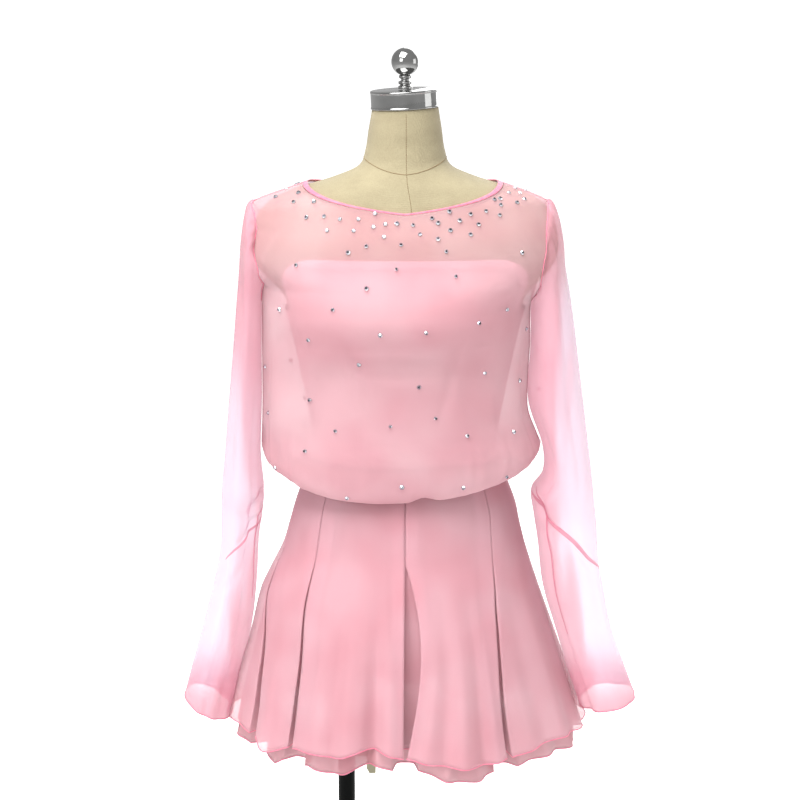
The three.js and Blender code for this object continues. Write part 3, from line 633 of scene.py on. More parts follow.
def under_bodice_grid(back):
    """The close under-bodice, with a narrow doubled band along its upper edge."""
    edge = 90 - math.degrees(SEAM / 2 / UNDER_HALF)
    angle = np.linspace(-edge, edge, UNDER_COLUMNS) + (180 if back else 0)
    top = bust_edge(angle)
    foot = SKIRT_TOP_Z + 2 * SEAM
    levels = [mix(foot, top - BUST_BAND - 1, share) for share in np.linspace(0, 1, UNDER_ROWS)]
    levels += [top - BUST_BAND, top - BUST_BAND / 2, top - 1, top]
    rows = []
    for index, z in enumerate(levels):
        ease = mix(UNDER_BODICE_EASE, BUST_EASE, smooth((z - WAIST_Z) / 140))
        ease = ease + (BAND_EASE if index >= UNDER_ROWS else 0)
        drop = ARMPIT_DROP / 2 * smooth((z - UNDERARM_Z + 30) / 40)
        rows.append(on_oval(form_section(z + drop, ease), angle, z))
    return np.array(rows)


def along_of(section, place, z):
    """Direction along a level section at an angle, and the length of one degree."""
    step = on_oval(section, place + 0.5, z) - on_oval(section, place - 0.5, z)
    length = np.linalg.norm(step, axis=-1)
    return step / length[..., None], length


def skirt_point(z, angle, shift, inward):
    """Points of the skirt beside an angle: shifted along the section and moved in from it."""
    section = skirt_section(z)
    place = angle + shift / along_of(section, angle, z)[1]
    along = along_of(section, place, z)[0]
    inside = np.stack([-along[..., 1], along[..., 0], np.zeros(along.shape[:-1])], -1)
    return on_oval(section, place, z) + inside * np.asarray(inward)[..., None]


def openness(z, hem):
    """How far a pleat is open, from 0 at its stitching to 1 at the hem."""
    return np.clip((STITCH_END_Z - z) / (STITCH_END_Z - hem), 0, 1) ** 0.85


def hidden_reach(pleat, opened):
    """How far a pleat's hidden cloth reaches to its left and right, and its swing to the right."""
    swing = pleat["swing"] * math.sin(math.pi * opened)
    left, right = (mix(UNDERLAY_HALF, pleat[side] + HEM_UNDERLAY, opened) for side in ("left", "right"))
    return left, right + swing, swing


def outer_pleat(pleat, opened):
    """A pleat's path at one height: shift along the section and distance in from it."""
    hidden_left, hidden_right, swing = hidden_reach(pleat, opened)
    left = pleat["left"] * opened + EDGE_GAP
    right = pleat["right"] * opened + EDGE_GAP + swing
    depth = pleat["depth"] * opened
    bend = LAYER + 0.85 * depth
    floor = 2 * LAYER + depth
    ridge = pleat["ridge"] * opened
    return np.array([
        (-left, 0),
        (-left, LAYER),
        (-hidden_left, bend),
        (-hidden_left, floor),
        ((hidden_right - hidden_left) / 2 + 0.4 * ridge, floor - ridge),
        (hidden_right, floor),
        (hidden_right, bend),
        (right, LAYER),
        (right, 0),
    ])


def under_pleat(pleat, opened):
    """The under layer dips behind each pleat of the upper one."""
    left, right, _ = hidden_reach(pleat, opened)
    near = UNDER_LAYER + UNDER_FREE * opened
    floor = UNDER_LAYER + (pleat["depth"] + UNDER_DIP) * opened
    return np.array([
        (-left - UNDER_SLOPE, near),
        (-left - UNDER_SLOPE / 2, floor),
        (right + UNDER_SLOPE / 2, floor),
        (right + UNDER_SLOPE, near),
    ])


def denser(path, count):
    """A path with its stretches divided and its corners eased."""
    steps = np.linspace(0, len(path) - 1, count)
    spots = np.arange(len(path))
    dense = np.stack([np.interp(steps, spots, path[:, k]) for k in range(2)], -1)
    for _ in range(3):
        dense[1:-1] = (dense[:-2] + 2 * dense[1:-1] + dense[2:]) / 4
    return dense


def wave_height(layer, angle, fall):
    """How far the hem's waves stand out."""
    total = 0
    for place, spread, height in zip(WAVES["angle"], WAVES["spread"], WAVES[layer]):
        across = turned_angle(angle - place) / spread
        total = total + height * np.exp(-across * across)
    return total * fall ** 1.3


def skirt_line(level, share, layer, start, end):
    """One row of a skirt panel: even flat stretches and a path through each pleat."""
    path = outer_pleat if layer == "outer" else under_pleat
    count = PLEAT_POINTS[layer]
    part = np.linspace(0, 1, FLAT_POINTS)

    def hem_of(angle):
        return read(HEM, turned_angle(angle), layer)

    def height_of(angle):
        return mix(level, hem_of(angle), share)

    def open_at(angle):
        return openness(height_of(angle), hem_of(angle))

    def flat_inward(angle):
        free = 0 if layer == "outer" else UNDER_LAYER + UNDER_FREE * open_at(angle)
        crown = np.sin(np.pi * part) * PANEL_CROWN * share
        return free - crown - wave_height(layer, angle, share)

    middle_z = mix(level, HEM_MIDDLE[layer], share)
    drop = (SKIRT_TOP_Z - middle_z) / (SKIRT_TOP_Z - HEM_MIDDLE["outer"])
    inside = []
    for row in zip(*PLEATS.values()):
        pleat = dict(zip(PLEATS, map(float, row)))
        for turn in (0, 360):
            if start < pleat["waist"] + turn < end:
                angle = float(mix(pleat["waist"], pleat["hem"], smooth(drop))) + turn
                inside.append((pleat["waist"] + turn, angle, pleat))
    inside.sort(key=lambda found: found[0])
    line = []
    last_angle, last_shift = start, SEAM / 2
    for _, angle, pleat in inside + [(None, end, None)]:
        steps = denser(path(pleat, float(open_at(angle))), count) if pleat else None
        shift = float(steps[0, 0]) if pleat else -SEAM / 2
        spots = mix(last_angle, angle, part)
        shifts = mix(last_shift, shift, part)
        line.append(skirt_point(height_of(spots), spots, shifts, flat_inward(spots)))
        if pleat:
            spots = np.full(count - 2, angle)
            inward = steps[1:-1, 1] - wave_height(layer, angle, share)
            line.append(skirt_point(height_of(spots), spots, steps[1:-1, 0], inward))
            last_angle, last_shift = angle, float(steps[-1, 0])
    return np.concatenate(line)


def skirt_grid(layer, back):
    """A skirt panel, its rows going up."""
    start, end = (SIDE_SEAM, 360 - SIDE_SEAM) if back else (-SIDE_SEAM, SIDE_SEAM)
    rows = [skirt_line(STITCH_END_Z, share, layer, start, end) for share in np.linspace(1, 0, PLEATED_ROWS)]
    levels = np.linspace(STITCH_END_Z, SKIRT_TOP_Z, STITCHED_ROWS)[1:]
    return np.array(rows + [skirt_line(z, 0, layer, start, end) for z in levels])


def armhole_loop(side, count, outward):
    """The armhole's seam line, moved out from the bodice."""
    turn = np.arange(count) / count
    z = mix(UNDERARM_Z + 1, ARMHOLE_TOP_Z, (1 + np.cos(turn * 2 * np.pi)) / 2)
    edge = read(ARMHOLE, z, "left" if side < 0 else "right")
    angle = side * np.where(turn < 0.5, edge, 180 - edge)
    points = bodice_point(angle, z)
    points[:, 0] += side * outward
    return points


def between_rings(rings, count):
    """More rings on smooth curves through the given ones, and the place of each among them."""
    steps = np.linspace(0, len(rings) - 1, count)
    i = np.clip(steps.astype(int), 0, len(rings) - 2)
    before, after = rings[np.maximum(i - 1, 0)], rings[np.minimum(i + 2, len(rings) - 1)]
    here, there = rings[i], rings[i + 1]
    leave, arrive = (there - before) / 2, (after - here) / 2
    return curve(here, there, leave, arrive, (steps - i)[:, None, None]), steps


def outward_of(grid):
    """Unit outward directions of a closed grid whose rows go down."""
    across = np.roll(grid, -1, axis=1) - np.roll(grid, 1, axis=1)
    down = np.gradient(grid, axis=0)
    normal = np.cross(down, across)
    return normal / np.linalg.norm(normal, axis=-1)[..., None]


def bodice_reach(side, z):
    """How far the overlay reaches to one side at a height."""
    return float(np.abs(bodice_point(side * np.linspace(60, 120, 61), z)[:, 0]).max())


def sleeve_rings(side):
    """The sleeve's sections from its seam at the armhole down to the cuff."""
    turn = np.arange(SLEEVE_AROUND) / SLEEVE_AROUND
    power = 2 / SLEEVE_SQUARE
    cosine, sine = np.cos(turn * 2 * np.pi), np.sin(turn * 2 * np.pi)
    across = np.sign(cosine) * np.abs(cosine) ** power
    forward = np.sign(sine) * np.abs(sine) ** power
    rings = [armhole_loop(side, SLEEVE_AROUND, SEAM + CLOTH)]
    for out_x, out_z, in_x, in_z, depth, middle in zip(*SLEEVES[side].values()):
        if BESIDE_LOW_Z < in_z < UNDERARM_Z:
            in_x = bodice_reach(side, in_z) + WALL + SEAM + BESIDE_FREE
        x = side * mix(in_x, out_x, (1 + across) / 2)
        y = middle - depth * forward
        z = mix(in_z, out_z, (1 + across) / 2)
        rings.append(np.stack([x, y, z], -1))
    return np.array(rings)


def sleeve_move(side, spot, row):
    """How far the folds, creases and gathers of a sleeve stand out at a turn and a row."""
    move = 0
    for which, place, drift, spread, start, end, height in zip(*SLEEVE_FOLDS.values()):
        if which != side:
            continue
        lean = drift * (row - start) / (end - start)
        apart = ((spot - place - lean + 0.5) % 1 - 0.5) / spread
        ends = smooth((row - start) / 3) * smooth((end + 2 - row) / 3)
        move = move + height * ends * np.exp(-apart * apart)
    move = move + crease_depth(side, spot, row)
    head = gathers_of(31 + side, 14, 1.0, 2.6, 3.2)
    top = smooth((0.32 - np.abs((spot + 0.5) % 1 - 0.5)) / 0.12)
    rise = np.clip(row + 1, 0, None)
    for place, spread, reach, height in zip(*head.values()):
        apart = turned_angle(spot * 360 - place) / spread
        shape = np.exp(-((rise / reach) ** 2)) * smooth(rise / 0.35)
        move = move + height * top * np.exp(-apart * apart) * shape
    return move


def crease_depth(side, spot, row):
    """Diagonal creases, measured in rows and in turns of the sleeve."""
    total = 0
    for which, turn, start, to_turn, to_row, width, depth in zip(*CREASES.values()):
        if which != side:
            continue
        line = np.array([(to_turn - turn) * TURN_LENGTH, (to_row - start) * ROW_LENGTH])
        length = np.linalg.norm(line)
        x, y = (spot - turn) * TURN_LENGTH, (row - start) * ROW_LENGTH
        along = (x * line[0] + y * line[1]) / length / length
        apart = (x * line[1] - y * line[0]) / length / width
        ends = smooth((along + 0.15) * 3) * smooth((1.15 - along) * 3)
        total = total + depth * ends * np.exp(-apart * apart)
    return total


def sleeve_grid(side):
    """A sleeve from its gathered head to the flared cuff, its rows going up."""
    grid, steps = between_rings(sleeve_rings(side), SLEEVE_DOWN)
    row = (steps - 1)[:, None]
    spot = np.arange(SLEEVE_AROUND)[None, :] / SLEEVE_AROUND
    grid = grid - side * outward_of(grid) * sleeve_move(side, spot, row)[..., None]
    cuff = smooth((row - CUFF_ROW) / 2.5)
    grid[..., 2] += cuff * CUFF_WAVE * np.sin(spot * 2 * np.pi * 3 + side)
    grid = grid[::-1]
    return grid if side < 0 else grid[:, ::-1]


# Materials


def tone(red, green, blue):
    """A colour given as it looks on screen, from 0 to 255."""
    shares = [value / 255 for value in (red, green, blue)]
    return tuple(s / 12.92 if s <= 0.04045 else ((s + 0.055) / 1.055) ** 2.4 for s in shares) + (1.0,)


class Look:
    """A node material in the making."""

    def __init__(self, name, **values):
        self.material = bpy.data.materials.new(name)
        self.material.use_nodes = True
        self.nodes = self.material.node_tree.nodes
        self.shader = self.nodes["Principled BSDF"]
        self.output = self.nodes["Material Output"]
        self.fill(self.shader, values)
        self.place = self.node("TexCoord").outputs["Object"]

    def link(self, value, socket):
        """Join a node's output to a socket, or give the socket a value."""
        if isinstance(value, bpy.types.NodeSocket):
            self.material.node_tree.links.new(value, socket)
        else:
            socket.default_value = value

    def fill(self, node, values):
        for name, value in values.items():
            self.link(value, node.inputs[name.replace("_", " ")])

    def node(self, kind, **values):
        """A new node with some of its inputs given."""
        node = self.nodes.new("ShaderNode" + kind)
        self.fill(node, values)
        return node

    def noise(self, scale, detail=2.0, roughness=0.5, stretch=None):
        place = self.place
        if stretch:
            place = self.node("Mapping", Vector=place, Scale=stretch).outputs["Vector"]
        node = self.node("TexNoise", Scale=scale, Detail=detail, Roughness=roughness, Vector=place)
        return node.outputs["Fac"]

    def axis(self, name):
        """One coordinate in metres."""
        return self.node("SeparateXYZ", Vector=self.place).outputs[name]

    def between(self, value, low, high, start=0.0, end=1.0):
        """From one value to another, softly, while the given one goes from low to high."""
        node = self.node("MapRange", Value=value, From_Min=low, From_Max=high, To_Min=start, To_Max=end)
        node.interpolation_type = "SMOOTHSTEP"
        return node.outputs["Result"]

    def blend(self, share, first, second):
        """A mix of two colours."""
        node = self.node("Mix")
        node.data_type = "RGBA"
        self.fill(node, {"Factor": share, "A": first, "B": second})
        return node.outputs["Result"]

    def blend_shaders(self, share, first, second):
        """A mix of two shaders."""
        node = self.node("MixShader", Fac=share)
        self.link(first.outputs[0], node.inputs[1])
        self.link(second.outputs[0], node.inputs[2])
        return node

    def threads(self, direction, period):
        """Fine parallel threads with a period in metres."""
        node = self.node("TexWave", Scale=2 * math.pi / 20 / period, Distortion=0.6, Vector=self.place)
        node.bands_direction = direction
        return node.outputs["Fac"]

    def math(self, operation, first, second):
        node = self.node("Math")
        node.operation = operation
        self.link(first, node.inputs[0])
        self.link(second, node.inputs[1])
        return node.outputs[0]

    def add(self, first, second):
        return self.math("ADD", first, second)

    def subtract(self, first, second):
        return self.math("SUBTRACT", first, second)

    def multiply(self, first, second):
        return self.math("MULTIPLY", first, second)

    def ramp(self, value, *stops):
        node = self.node("ValToRGB", Fac=value)
        elements = node.color_ramp.elements
        while len(elements) < len(stops):
            elements.new(0.5)
        for element, (place, colour) in zip(elements, stops):
            element.position = place
            element.color = colour
        return node.outputs["Color"]

    def bump(self, height, strength, distance):
        normal = self.node("Bump", Strength=strength, Distance=distance, Height=height).outputs["Normal"]
        self.link(normal, self.shader.inputs["Normal"])
        return normal

    def colour(self, value, *stops):
        """The base colour, between tones by a value."""
        self.link(self.ramp(value, *stops), self.shader.inputs["Base Color"])

    def rough(self, value):
        self.link(value, self.shader.inputs["Roughness"])

    def woven(self, period):
        """Height of a plain weave."""
        across = self.multiply(self.threads("X", period), self.threads("Z", period))
        return self.add(across, self.threads("Y", period))


def chiffon(name, light, deep, cover, glow, painted_backlight_tint=None):
    """Sheer cloth: cover is how much one surface hides, as steps between two heights that are
    added up, glow is the share of light that comes through it, and the last colour is painted
    light from behind, laid paler on a sleeve's outer half."""
    look = Look(name, Roughness=0.82, Specular_IOR_Level=0.25, Sheen_Weight=0.25, Sheen_Roughness=0.5)
    tint = look.ramp(look.noise(14, 1), (0.32, deep), (0.66, light))
    hides = look.between(look.axis("Z"), *cover[0])
    for step in cover[1:]:
        hides = look.add(hides, look.between(look.axis("Z"), *step))
    # Painted light from behind: a paler colour on the sleeve's outer half, and more cover on its inner
    # half.
    if painted_backlight_tint:
        outer = painted_backlight_mask(look)
        tint = look.blend(outer, tint, painted_backlight_tint)
        hides = look.add(hides, look.multiply(look.subtract(1.0, outer), INNER_COVER))
    look.link(tint, look.shader.inputs["Base Color"])
    normal = look.bump(look.noise(260, 1, 0.6), 0.35, 0.0004)
    through = look.node("BsdfTranslucent", Color=tint, Normal=normal)
    body = look.blend_shaders(glow, look.shader, through)
    sheer = look.blend_shaders(hides, look.node("BsdfTransparent"), body)
    look.link(sheer.outputs[0], look.output.inputs["Surface"])
    return look.material


def painted_backlight_mask(look):
    """Mask of the painted backlight: from 0 on a sleeve's inner half and at its head to 1 on its outer half
    below the shoulder, reaching higher on the right sleeve.
    """
    height = look.axis("Z")
    below_elbow = look.math("MAXIMUM", look.subtract(0.8, height), 0.0)
    middle = look.add(look.multiply(below_elbow, 0.21), 0.208)
    apart = look.subtract(look.math("ABSOLUTE", look.axis("X"), 0.0), middle)
    streaks = look.multiply(look.subtract(look.noise(60, 0, 0.5, (1, 0.4, 0.12)), 0.5), 0.05)
    outside = look.between(look.add(apart, streaks), -0.018, 0.008)
    shifted = look.add(height, look.between(look.axis("X"), -0.15, 0.15, 0.04, -0.14))
    below_head = look.between(shifted, 0.98, 1.12, 1.0, 0.0)
    above_cuff = look.between(height, 0.56, 0.64, 0.1, 1.0)
    return look.multiply(outside, look.multiply(below_head, above_cuff))


def smooth_lining():
    """Close stretch lining of the under-bodice."""
    look = Look("under_bodice_cloth", Roughness=0.7, Sheen_Weight=0.3)
    look.colour(look.noise(12, 3), (0.3, tone(238, 190, 197)), (0.8, tone(248, 204, 211)))
    look.bump(look.add(look.woven(0.0009), look.noise(500, 2)), 0.2, 0.0003)
    return look.material


def rolled_edge():
    """Rolled hems, binding and seam allowances: the same cloth, several layers deep."""
    look = Look("rolled_edge_cloth", Roughness=0.75, Sheen_Weight=0.3)
    look.colour(look.noise(160, 3), (0.3, tone(226, 118, 146)), (0.75, tone(240, 146, 168)))
    look.bump(look.noise(1400, 2), 0.3, 0.0003)
    return look.material


def linen():
    """Plain woven cover of the form."""
    look = Look("form_linen", Roughness=0.9, Sheen_Weight=0.15, Specular_IOR_Level=0.2)
    slub = look.add(look.noise(30, 4, 0.6, (1, 1, 2)), look.noise(700, 2, 0.6))
    look.colour(look.multiply(slub, 0.5), (0.35, tone(158, 147, 119)), (0.68, tone(174, 163, 133)))
    height = look.add(look.multiply(look.woven(0.0012), 0.6), look.noise(900, 2))
    look.bump(height, 0.35, 0.0004)
    return look.material


def thread(name, colour):
    """Stitching thread."""
    look = Look(name, Roughness=0.8)
    light = tuple(1.15 * share for share in colour[:3]) + (1.0,)
    look.colour(look.noise(900, 2), (0.3, colour), (0.8, light))
    return look.material


def chrome():
    """Polished bright metal with fine turning marks."""
    look = Look("polished_chrome", Metallic=1.0, Roughness=0.08)
    look.colour(look.noise(40, 2), (0.3, tone(152, 152, 151)), (0.7, tone(172, 172, 171)))
    marks = look.noise(90, 2, 0.5, (1, 1, 14))
    look.rough(look.add(look.multiply(marks, 0.06), 0.05))
    look.bump(marks, 0.05, 0.0002)
    return look.material


def black_coat():
    """Satin black powder coat."""
    look = Look("black_powder_coat", Roughness=0.45, Specular_IOR_Level=0.08)
    look.colour(look.noise(30, 3), (0.3, tone(5, 6, 6)), (0.8, tone(11, 12, 12)))
    look.bump(look.noise(1600, 2), 0.25, 0.0002)
    look.rough(look.add(look.multiply(look.noise(25, 3), 0.2), 0.34))
    return look.material


def beige_plastic():
    """Moulded plastic of the pole's socket."""
    look = Look("beige_plastic", Roughness=0.6)
    look.colour(look.noise(20, 3), (0.3, tone(168, 165, 136)), (0.8, tone(182, 178, 150)))
    look.bump(look.noise(1500, 2), 0.2, 0.0002)
    return look.material


def crystal(name, dark, light):
    """Foil-backed crystal. Given dark tones, as for the tables, its colour is a painted dark reflection."""
    look = Look(name, Metallic=0.85, Roughness=0.12, Coat_Weight=1.0, Coat_Roughness=0.03)
    look.colour(look.noise(300, 1), (0.35, dark), (0.65, light))
    return look.material


def studio_floor():
    """Pale paper floor."""
    look = Look("pale_floor", Roughness=0.9, Emission_Color=(1, 1, 1, 1))
    look.colour(look.noise(3, 3), (0.2, (0.84, 0.84, 0.84, 1)), (0.9, (0.88, 0.88, 0.88, 1)))
    seen = look.node("LightPath").outputs["Is Camera Ray"]
    look.link(look.add(look.multiply(seen, 0.6), 0.15), look.shader.inputs["Emission Strength"])
    return look.material


# Cover between two heights: the blouse is doubled at its roll and thin over the yoke, the sleeves
# are doubled at their heads and gathered cuffs.
BLOUSE_COVER = ((0.885, 0.935, 0.72, 0.43), (1.12, 1.17, 0.0, -0.07))
SKIRT_COVER = ((0.5, 0.8, 0.52, 0.46),)
UNDER_COVER = ((0.5, 0.8, 0.76, 0.50),)
SLEEVE_COVER = ((0.95, 1.12, 0.30, 0.33), (0.56, 0.63, 0.28, 0.0))
FOLD_COVER = ((0.5, 0.8, 0.42, 0.42),)
INNER_COVER = 0.12
CHIFFON = chiffon("pink_chiffon", tone(252, 208, 215), tone(246, 192, 201), BLOUSE_COVER, 0.22)
SKIRT_CHIFFON = chiffon("skirt_chiffon", tone(252, 202, 212), tone(248, 187, 198), SKIRT_COVER, 0.17)
# Painted shade: the under layer is a darker copy of the skirt chiffon, for the shade it hangs in under the
# outer layer.
SHADED_UNDER_CHIFFON = chiffon("under_skirt_chiffon_painted_shade", tone(230, 168, 177), tone(220, 154, 164), UNDER_COVER, 0.15)
# The last colour is painted light from behind, laid on the sleeves' outer halves.
SLEEVE_CHIFFON = chiffon("sleeve_chiffon", tone(253, 201, 214), tone(250, 189, 204), SLEEVE_COVER, 0.5,
                         tone(253, 232, 249))
FOLD_CHIFFON = chiffon("folded_chiffon", tone(244, 158, 180), tone(238, 142, 166), FOLD_COVER, 0.3)
LINING = smooth_lining()
EDGE = rolled_edge()
LINEN = linen()
SEAM_THREAD = thread("seam_thread", tone(132, 112, 80))
CHROME = chrome()
BLACK = black_coat()
BEIGE = beige_plastic()
CROWN = crystal("crystal_crown", tone(176, 178, 190), tone(244, 245, 250))
# Painted reflection: the crystals' flat tables are coloured dark, as a reflection would make them look.
TABLE_REFLECTION = crystal("crystal_table_painted_reflection", tone(40, 42, 50), tone(150, 152, 162))


# Meshes


def piece(name, points, faces, material, slot, soft=True):
    """A new object of the model, in metres."""
    mesh = bpy.data.meshes.new(name)
    mesh.from_pydata((np.asarray(points) * MM).tolist(), [], [list(face) for face in faces])
    mesh.validate()
    mesh.polygons.foreach_set("use_smooth", [soft] * len(mesh.polygons))
    mesh.materials.append(material)
    made = bpy.data.objects.new(name, mesh)
    bpy.context.scene.collection.objects.link(made)
    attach(made, "root")
    return made


def grid_faces(rows, columns, closed=False, ring=False):
    """Quads of a grid whose rows go up and columns run to +X in front. In a closed grid the last
    column meets the first, and in a ring the last row does."""
    r, c = np.meshgrid(np.arange(rows - (not ring)), np.arange(columns - (not closed)), indexing="ij")
    n, up = (c + 1) % columns, (r + 1) % rows
    corners = [r * columns + c, r * columns + n, up * columns + n, up * columns + c]
    return np.stack(corners, -1).reshape(-1, 4).tolist()


def loft(rings, ring=False):
    """A closed body through sections that go up, or back to the first in a ring."""
    rings = np.asarray(rings)
    rows, columns = rings.shape[:2]
    faces = grid_faces(rows, columns, True, ring)
    if not ring:
        faces.append(list(reversed(range(columns))))
        faces.append([(rows - 1) * columns + k for k in range(columns)])
    return rings.reshape(-1, 3), faces


def cloth(name, grid, material, slot, nodes, closed=False):
    """A thin shell of cloth on a grid, in place of one or more CAD nodes."""
    rows, columns = grid.shape[:2]
    made = piece(name, grid.reshape(-1, 3), grid_faces(rows, columns, closed), material, slot)
    wall = made.modifiers.new("wall", "SOLIDIFY")
    wall.thickness = WALL * MM
    wall.offset = 0
    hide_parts(*nodes)
    return made


def tube(line, radius, sides=8, closed=False):
    """Points and faces of a tube along a line, its frame carried along it."""
    line = np.asarray(line, float)
    ahead = np.roll(line, -1, axis=0) - np.roll(line, 1, axis=0)
    if not closed:
        ahead[0], ahead[-1] = line[1] - line[0], line[-1] - line[-2]
    ahead /= np.linalg.norm(ahead, axis=1)[:, None]
    side = np.cross(ahead[0], (0.0, 0.0, 1.0) if abs(ahead[0][2]) < 0.9 else (1.0, 0.0, 0.0))
    turn = 2 * math.pi * np.arange(sides)[:, None] / sides
    rings = []
    for spot, way in zip(line, ahead):
        side = side - way * side.dot(way)
        side /= np.linalg.norm(side)
        rings.append(spot + radius * (np.cos(turn) * side + np.sin(turn) * np.cross(way, side)))
    return loft(rings, closed)


def joined(parts):
    """Several lists of points and faces as one."""
    points, faces = [], []
    for some_points, some_faces in parts:
        start = len(points)
        points.extend(some_points)
        faces.extend(tuple(start + corner for corner in face) for face in some_faces)
    return points, faces


def edging(name, lines, radius, material=EDGE, slot="trim", closed=False):
    """Rolled hems or seams along one or more lines."""
    return piece(name, *joined([tube(line, radius, 8, closed) for line in lines]), material, slot)


def turned(name, profile, sides, material, slot, place=(0, 0), crisp=35):
    """A round body from a profile of distances from the axis and heights."""
    turn = 2 * math.pi * np.arange(sides) / sides
    rings = []
    for radius, height in profile:
        x, y = place[0] + radius * np.cos(turn), radius * np.sin(turn)
        rings.append(np.stack([x, y, np.full(sides, place[1] + height)], -1))
    made = piece(name, *loft(rings), material, slot)
    made.data.set_sharp_from_angle(angle=math.radians(crisp))
    return made


def rounded(corners, radius, steps=4):
    """A profile with its inner corners rounded."""
    made = [corners[0]]
    for before, here, after in zip(corners, corners[1:], corners[2:]):
        a, b, c = (np.array(spot, float) for spot in (before, here, after))
        reach = min(radius, np.linalg.norm(a - b) / 2.1, np.linalg.norm(c - b) / 2.1)
        start = b + (a - b) / np.linalg.norm(a - b) * reach
        end = b + (c - b) / np.linalg.norm(c - b) * reach
        for t in np.linspace(0, 1, steps):
            made.append(tuple((1 - t) ** 2 * start + 2 * t * (1 - t) * b + t * t * end))
    made.append(corners[-1])
    return made


def neck_tilt(points):
    """The neck's top slopes with its cap."""
    points = np.array(points, float)
    share = smooth((points[..., 2] - NECK_TILT_Z) / (NECK_TOP_Z - NECK_TILT_Z))
    points[..., 2] += share * points[..., 0] * math.tan(math.radians(CAP_TILT))
    return points


def united(made, others):
    """One skin from several overlapping bodies."""
    for other in others:
        cut = made.modifiers.new("join", "BOOLEAN")
        cut.operation = "UNION"
        cut.solver = "EXACT"
        cut.object = other
    graph = bpy.context.evaluated_depsgraph_get()
    mesh = bpy.data.meshes.new_from_object(made.evaluated_get(graph))
    made.modifiers.clear()
    made.data = mesh
    for other in others:
        bpy.data.objects.remove(other)
    return made


def level_turns(count):
    """Evenly spaced angles all round, starting at the centre back."""
    return np.arange(count) * 360.0 / count - 180


def make_form():
    """The linen torso with its short thigh stubs."""
    spans = ((622, 655, 12), (660, 1200, 90), (1204, NECK_TOP_Z, 46))
    heights = np.concatenate([np.linspace(*span) for span in spans])
    rings = [neck_tilt(on_oval(form_section(z, 0), level_turns(120), z)) for z in heights]
    torso = piece("form_cover", *loft(rings), LINEN, "linen")
    stubs = []
    for side in (-1, 1):
        rings = []
        for z in np.concatenate([[STUB_FOOT_Z, STUB_FOOT_Z + 1.5], np.linspace(STUB_FOOT_Z + 4, 690, 24)]):
            middle, half, front, back = (read(STUB, z, column) for column in STUB if column != "z")
            half = half - (1.2 if z == STUB_FOOT_Z else 0)
            ring = on_oval(even_section(half, front, back, STUB_SQUARE), level_turns(60), z)
            ring[:, 0] += side * middle
            rings.append(ring)
        stubs.append(piece(f"stub_{side + 1}", *loft(rings), LINEN, "linen"))
    united(torso, stubs)
    torso.data.polygons.foreach_set("use_smooth", [True] * len(torso.data.polygons))
    torso.data.set_sharp_from_angle(angle=math.radians(50))
    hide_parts("form_torso")


def make_form_seams():
    """Stitched centre seams, the neck seam and the two seams over the bust."""

    def on_form(angle, z):
        return on_oval(form_section(z, 0.05), angle, z)

    angle = np.linspace(-180, 180, 240)
    z = 1262 + 14 * np.abs(np.sin(np.radians(angle))) ** 1.4 - 3 * np.cos(np.radians(angle))
    parts = [tube(on_form(angle, z)[:-1], 0.5, 6, True)]
    z = np.linspace(1120, 1335, 110)
    for angle in (1.5, 180.0):
        line = neck_tilt(on_form(np.full(110, angle), z))
        parts.extend(tube(stitch, 0.42, 5) for stitch in stitches(line, 2.6, 1.7))
    z = np.linspace(1000, 1236, 90)
    for side in (-1, 1):
        angle = side * (38 + 24 * smooth((z - 1100) / 130))
        parts.append(tube(on_form(angle, z), 0.4, 5))
    piece("form_seams", *joined(parts), SEAM_THREAD, "linen")


def stitches(line, pitch, length):
    """Short stretches of a line, evenly spaced."""
    line = np.asarray(line, float)
    walked = np.concatenate([[0], np.cumsum(np.linalg.norm(np.diff(line, axis=0), axis=1))])
    made = []
    for start in np.arange(pitch / 2, walked[-1] - pitch, pitch):
        spots = np.array([start, start + length])
        made.append(np.stack([np.interp(spots, walked, line[:, k]) for k in range(3)], -1))
    return made


def make_finial():
    """Neck cap, stem and ball, and the tilt of the cap."""
    foot = NECK_TOP_Z + SEAM + 0.1
    rim = CAP_RADIUS - 0.6
    profile = rounded([
        (0.01, 0), (CAP_RADIUS - 1.0, 0), (CAP_RADIUS, 0.8), (CAP_RADIUS, 2.2), (rim, 3.0),
        (rim, CAP_HEIGHT - 3.4), (CAP_RADIUS, CAP_HEIGHT - 2.6), (CAP_RADIUS, CAP_HEIGHT - 0.9),
        (CAP_RADIUS - 1.2, CAP_HEIGHT), (0.01, CAP_HEIGHT),
    ], 0.5, 3)
    cap = turned("neck_cap_turned", profile, 128, CHROME, "chrome")
    tilt = math.radians(CAP_TILT)
    for vertex in cap.data.vertices:
        x, z = vertex.co.x, vertex.co.z
        vertex.co.x = x * math.cos(tilt) - z * math.sin(tilt)
        vertex.co.z = x * math.sin(tilt) + z * math.cos(tilt) + foot * MM
    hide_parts("neck_cap")
    low, high = (corner.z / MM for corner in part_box("finial_stem"))
    tall = high - low
    stem = turned("finial_stem_turned", rounded([
        (0.01, 0), (9, 0), (9, 3.2), (6.4, 4.6), (6.4, 5.4), (8.6, 6.6), (8.6, 9.4), (5.2, 10.6),
        (5.2, tall - 5.2), (8.0, tall - 4.0), (8.0, tall - 1.2), (6.5, tall), (0.01, tall),
    ], 0.7, 4), 64, CHROME, "chrome", (0, low))
    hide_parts("finial_stem")
    profile = []
    for degree in np.linspace(-66, 90, 48):
        radius = max(BALL_RADIUS * math.cos(math.radians(degree)), 0.01)
        profile.append((radius, BALL_RADIUS * math.sin(math.radians(degree))))
    ball = turned("finial_ball_turned", profile, 96, CHROME, "chrome", (0, BALL_Z), 60)
    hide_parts("finial_ball")


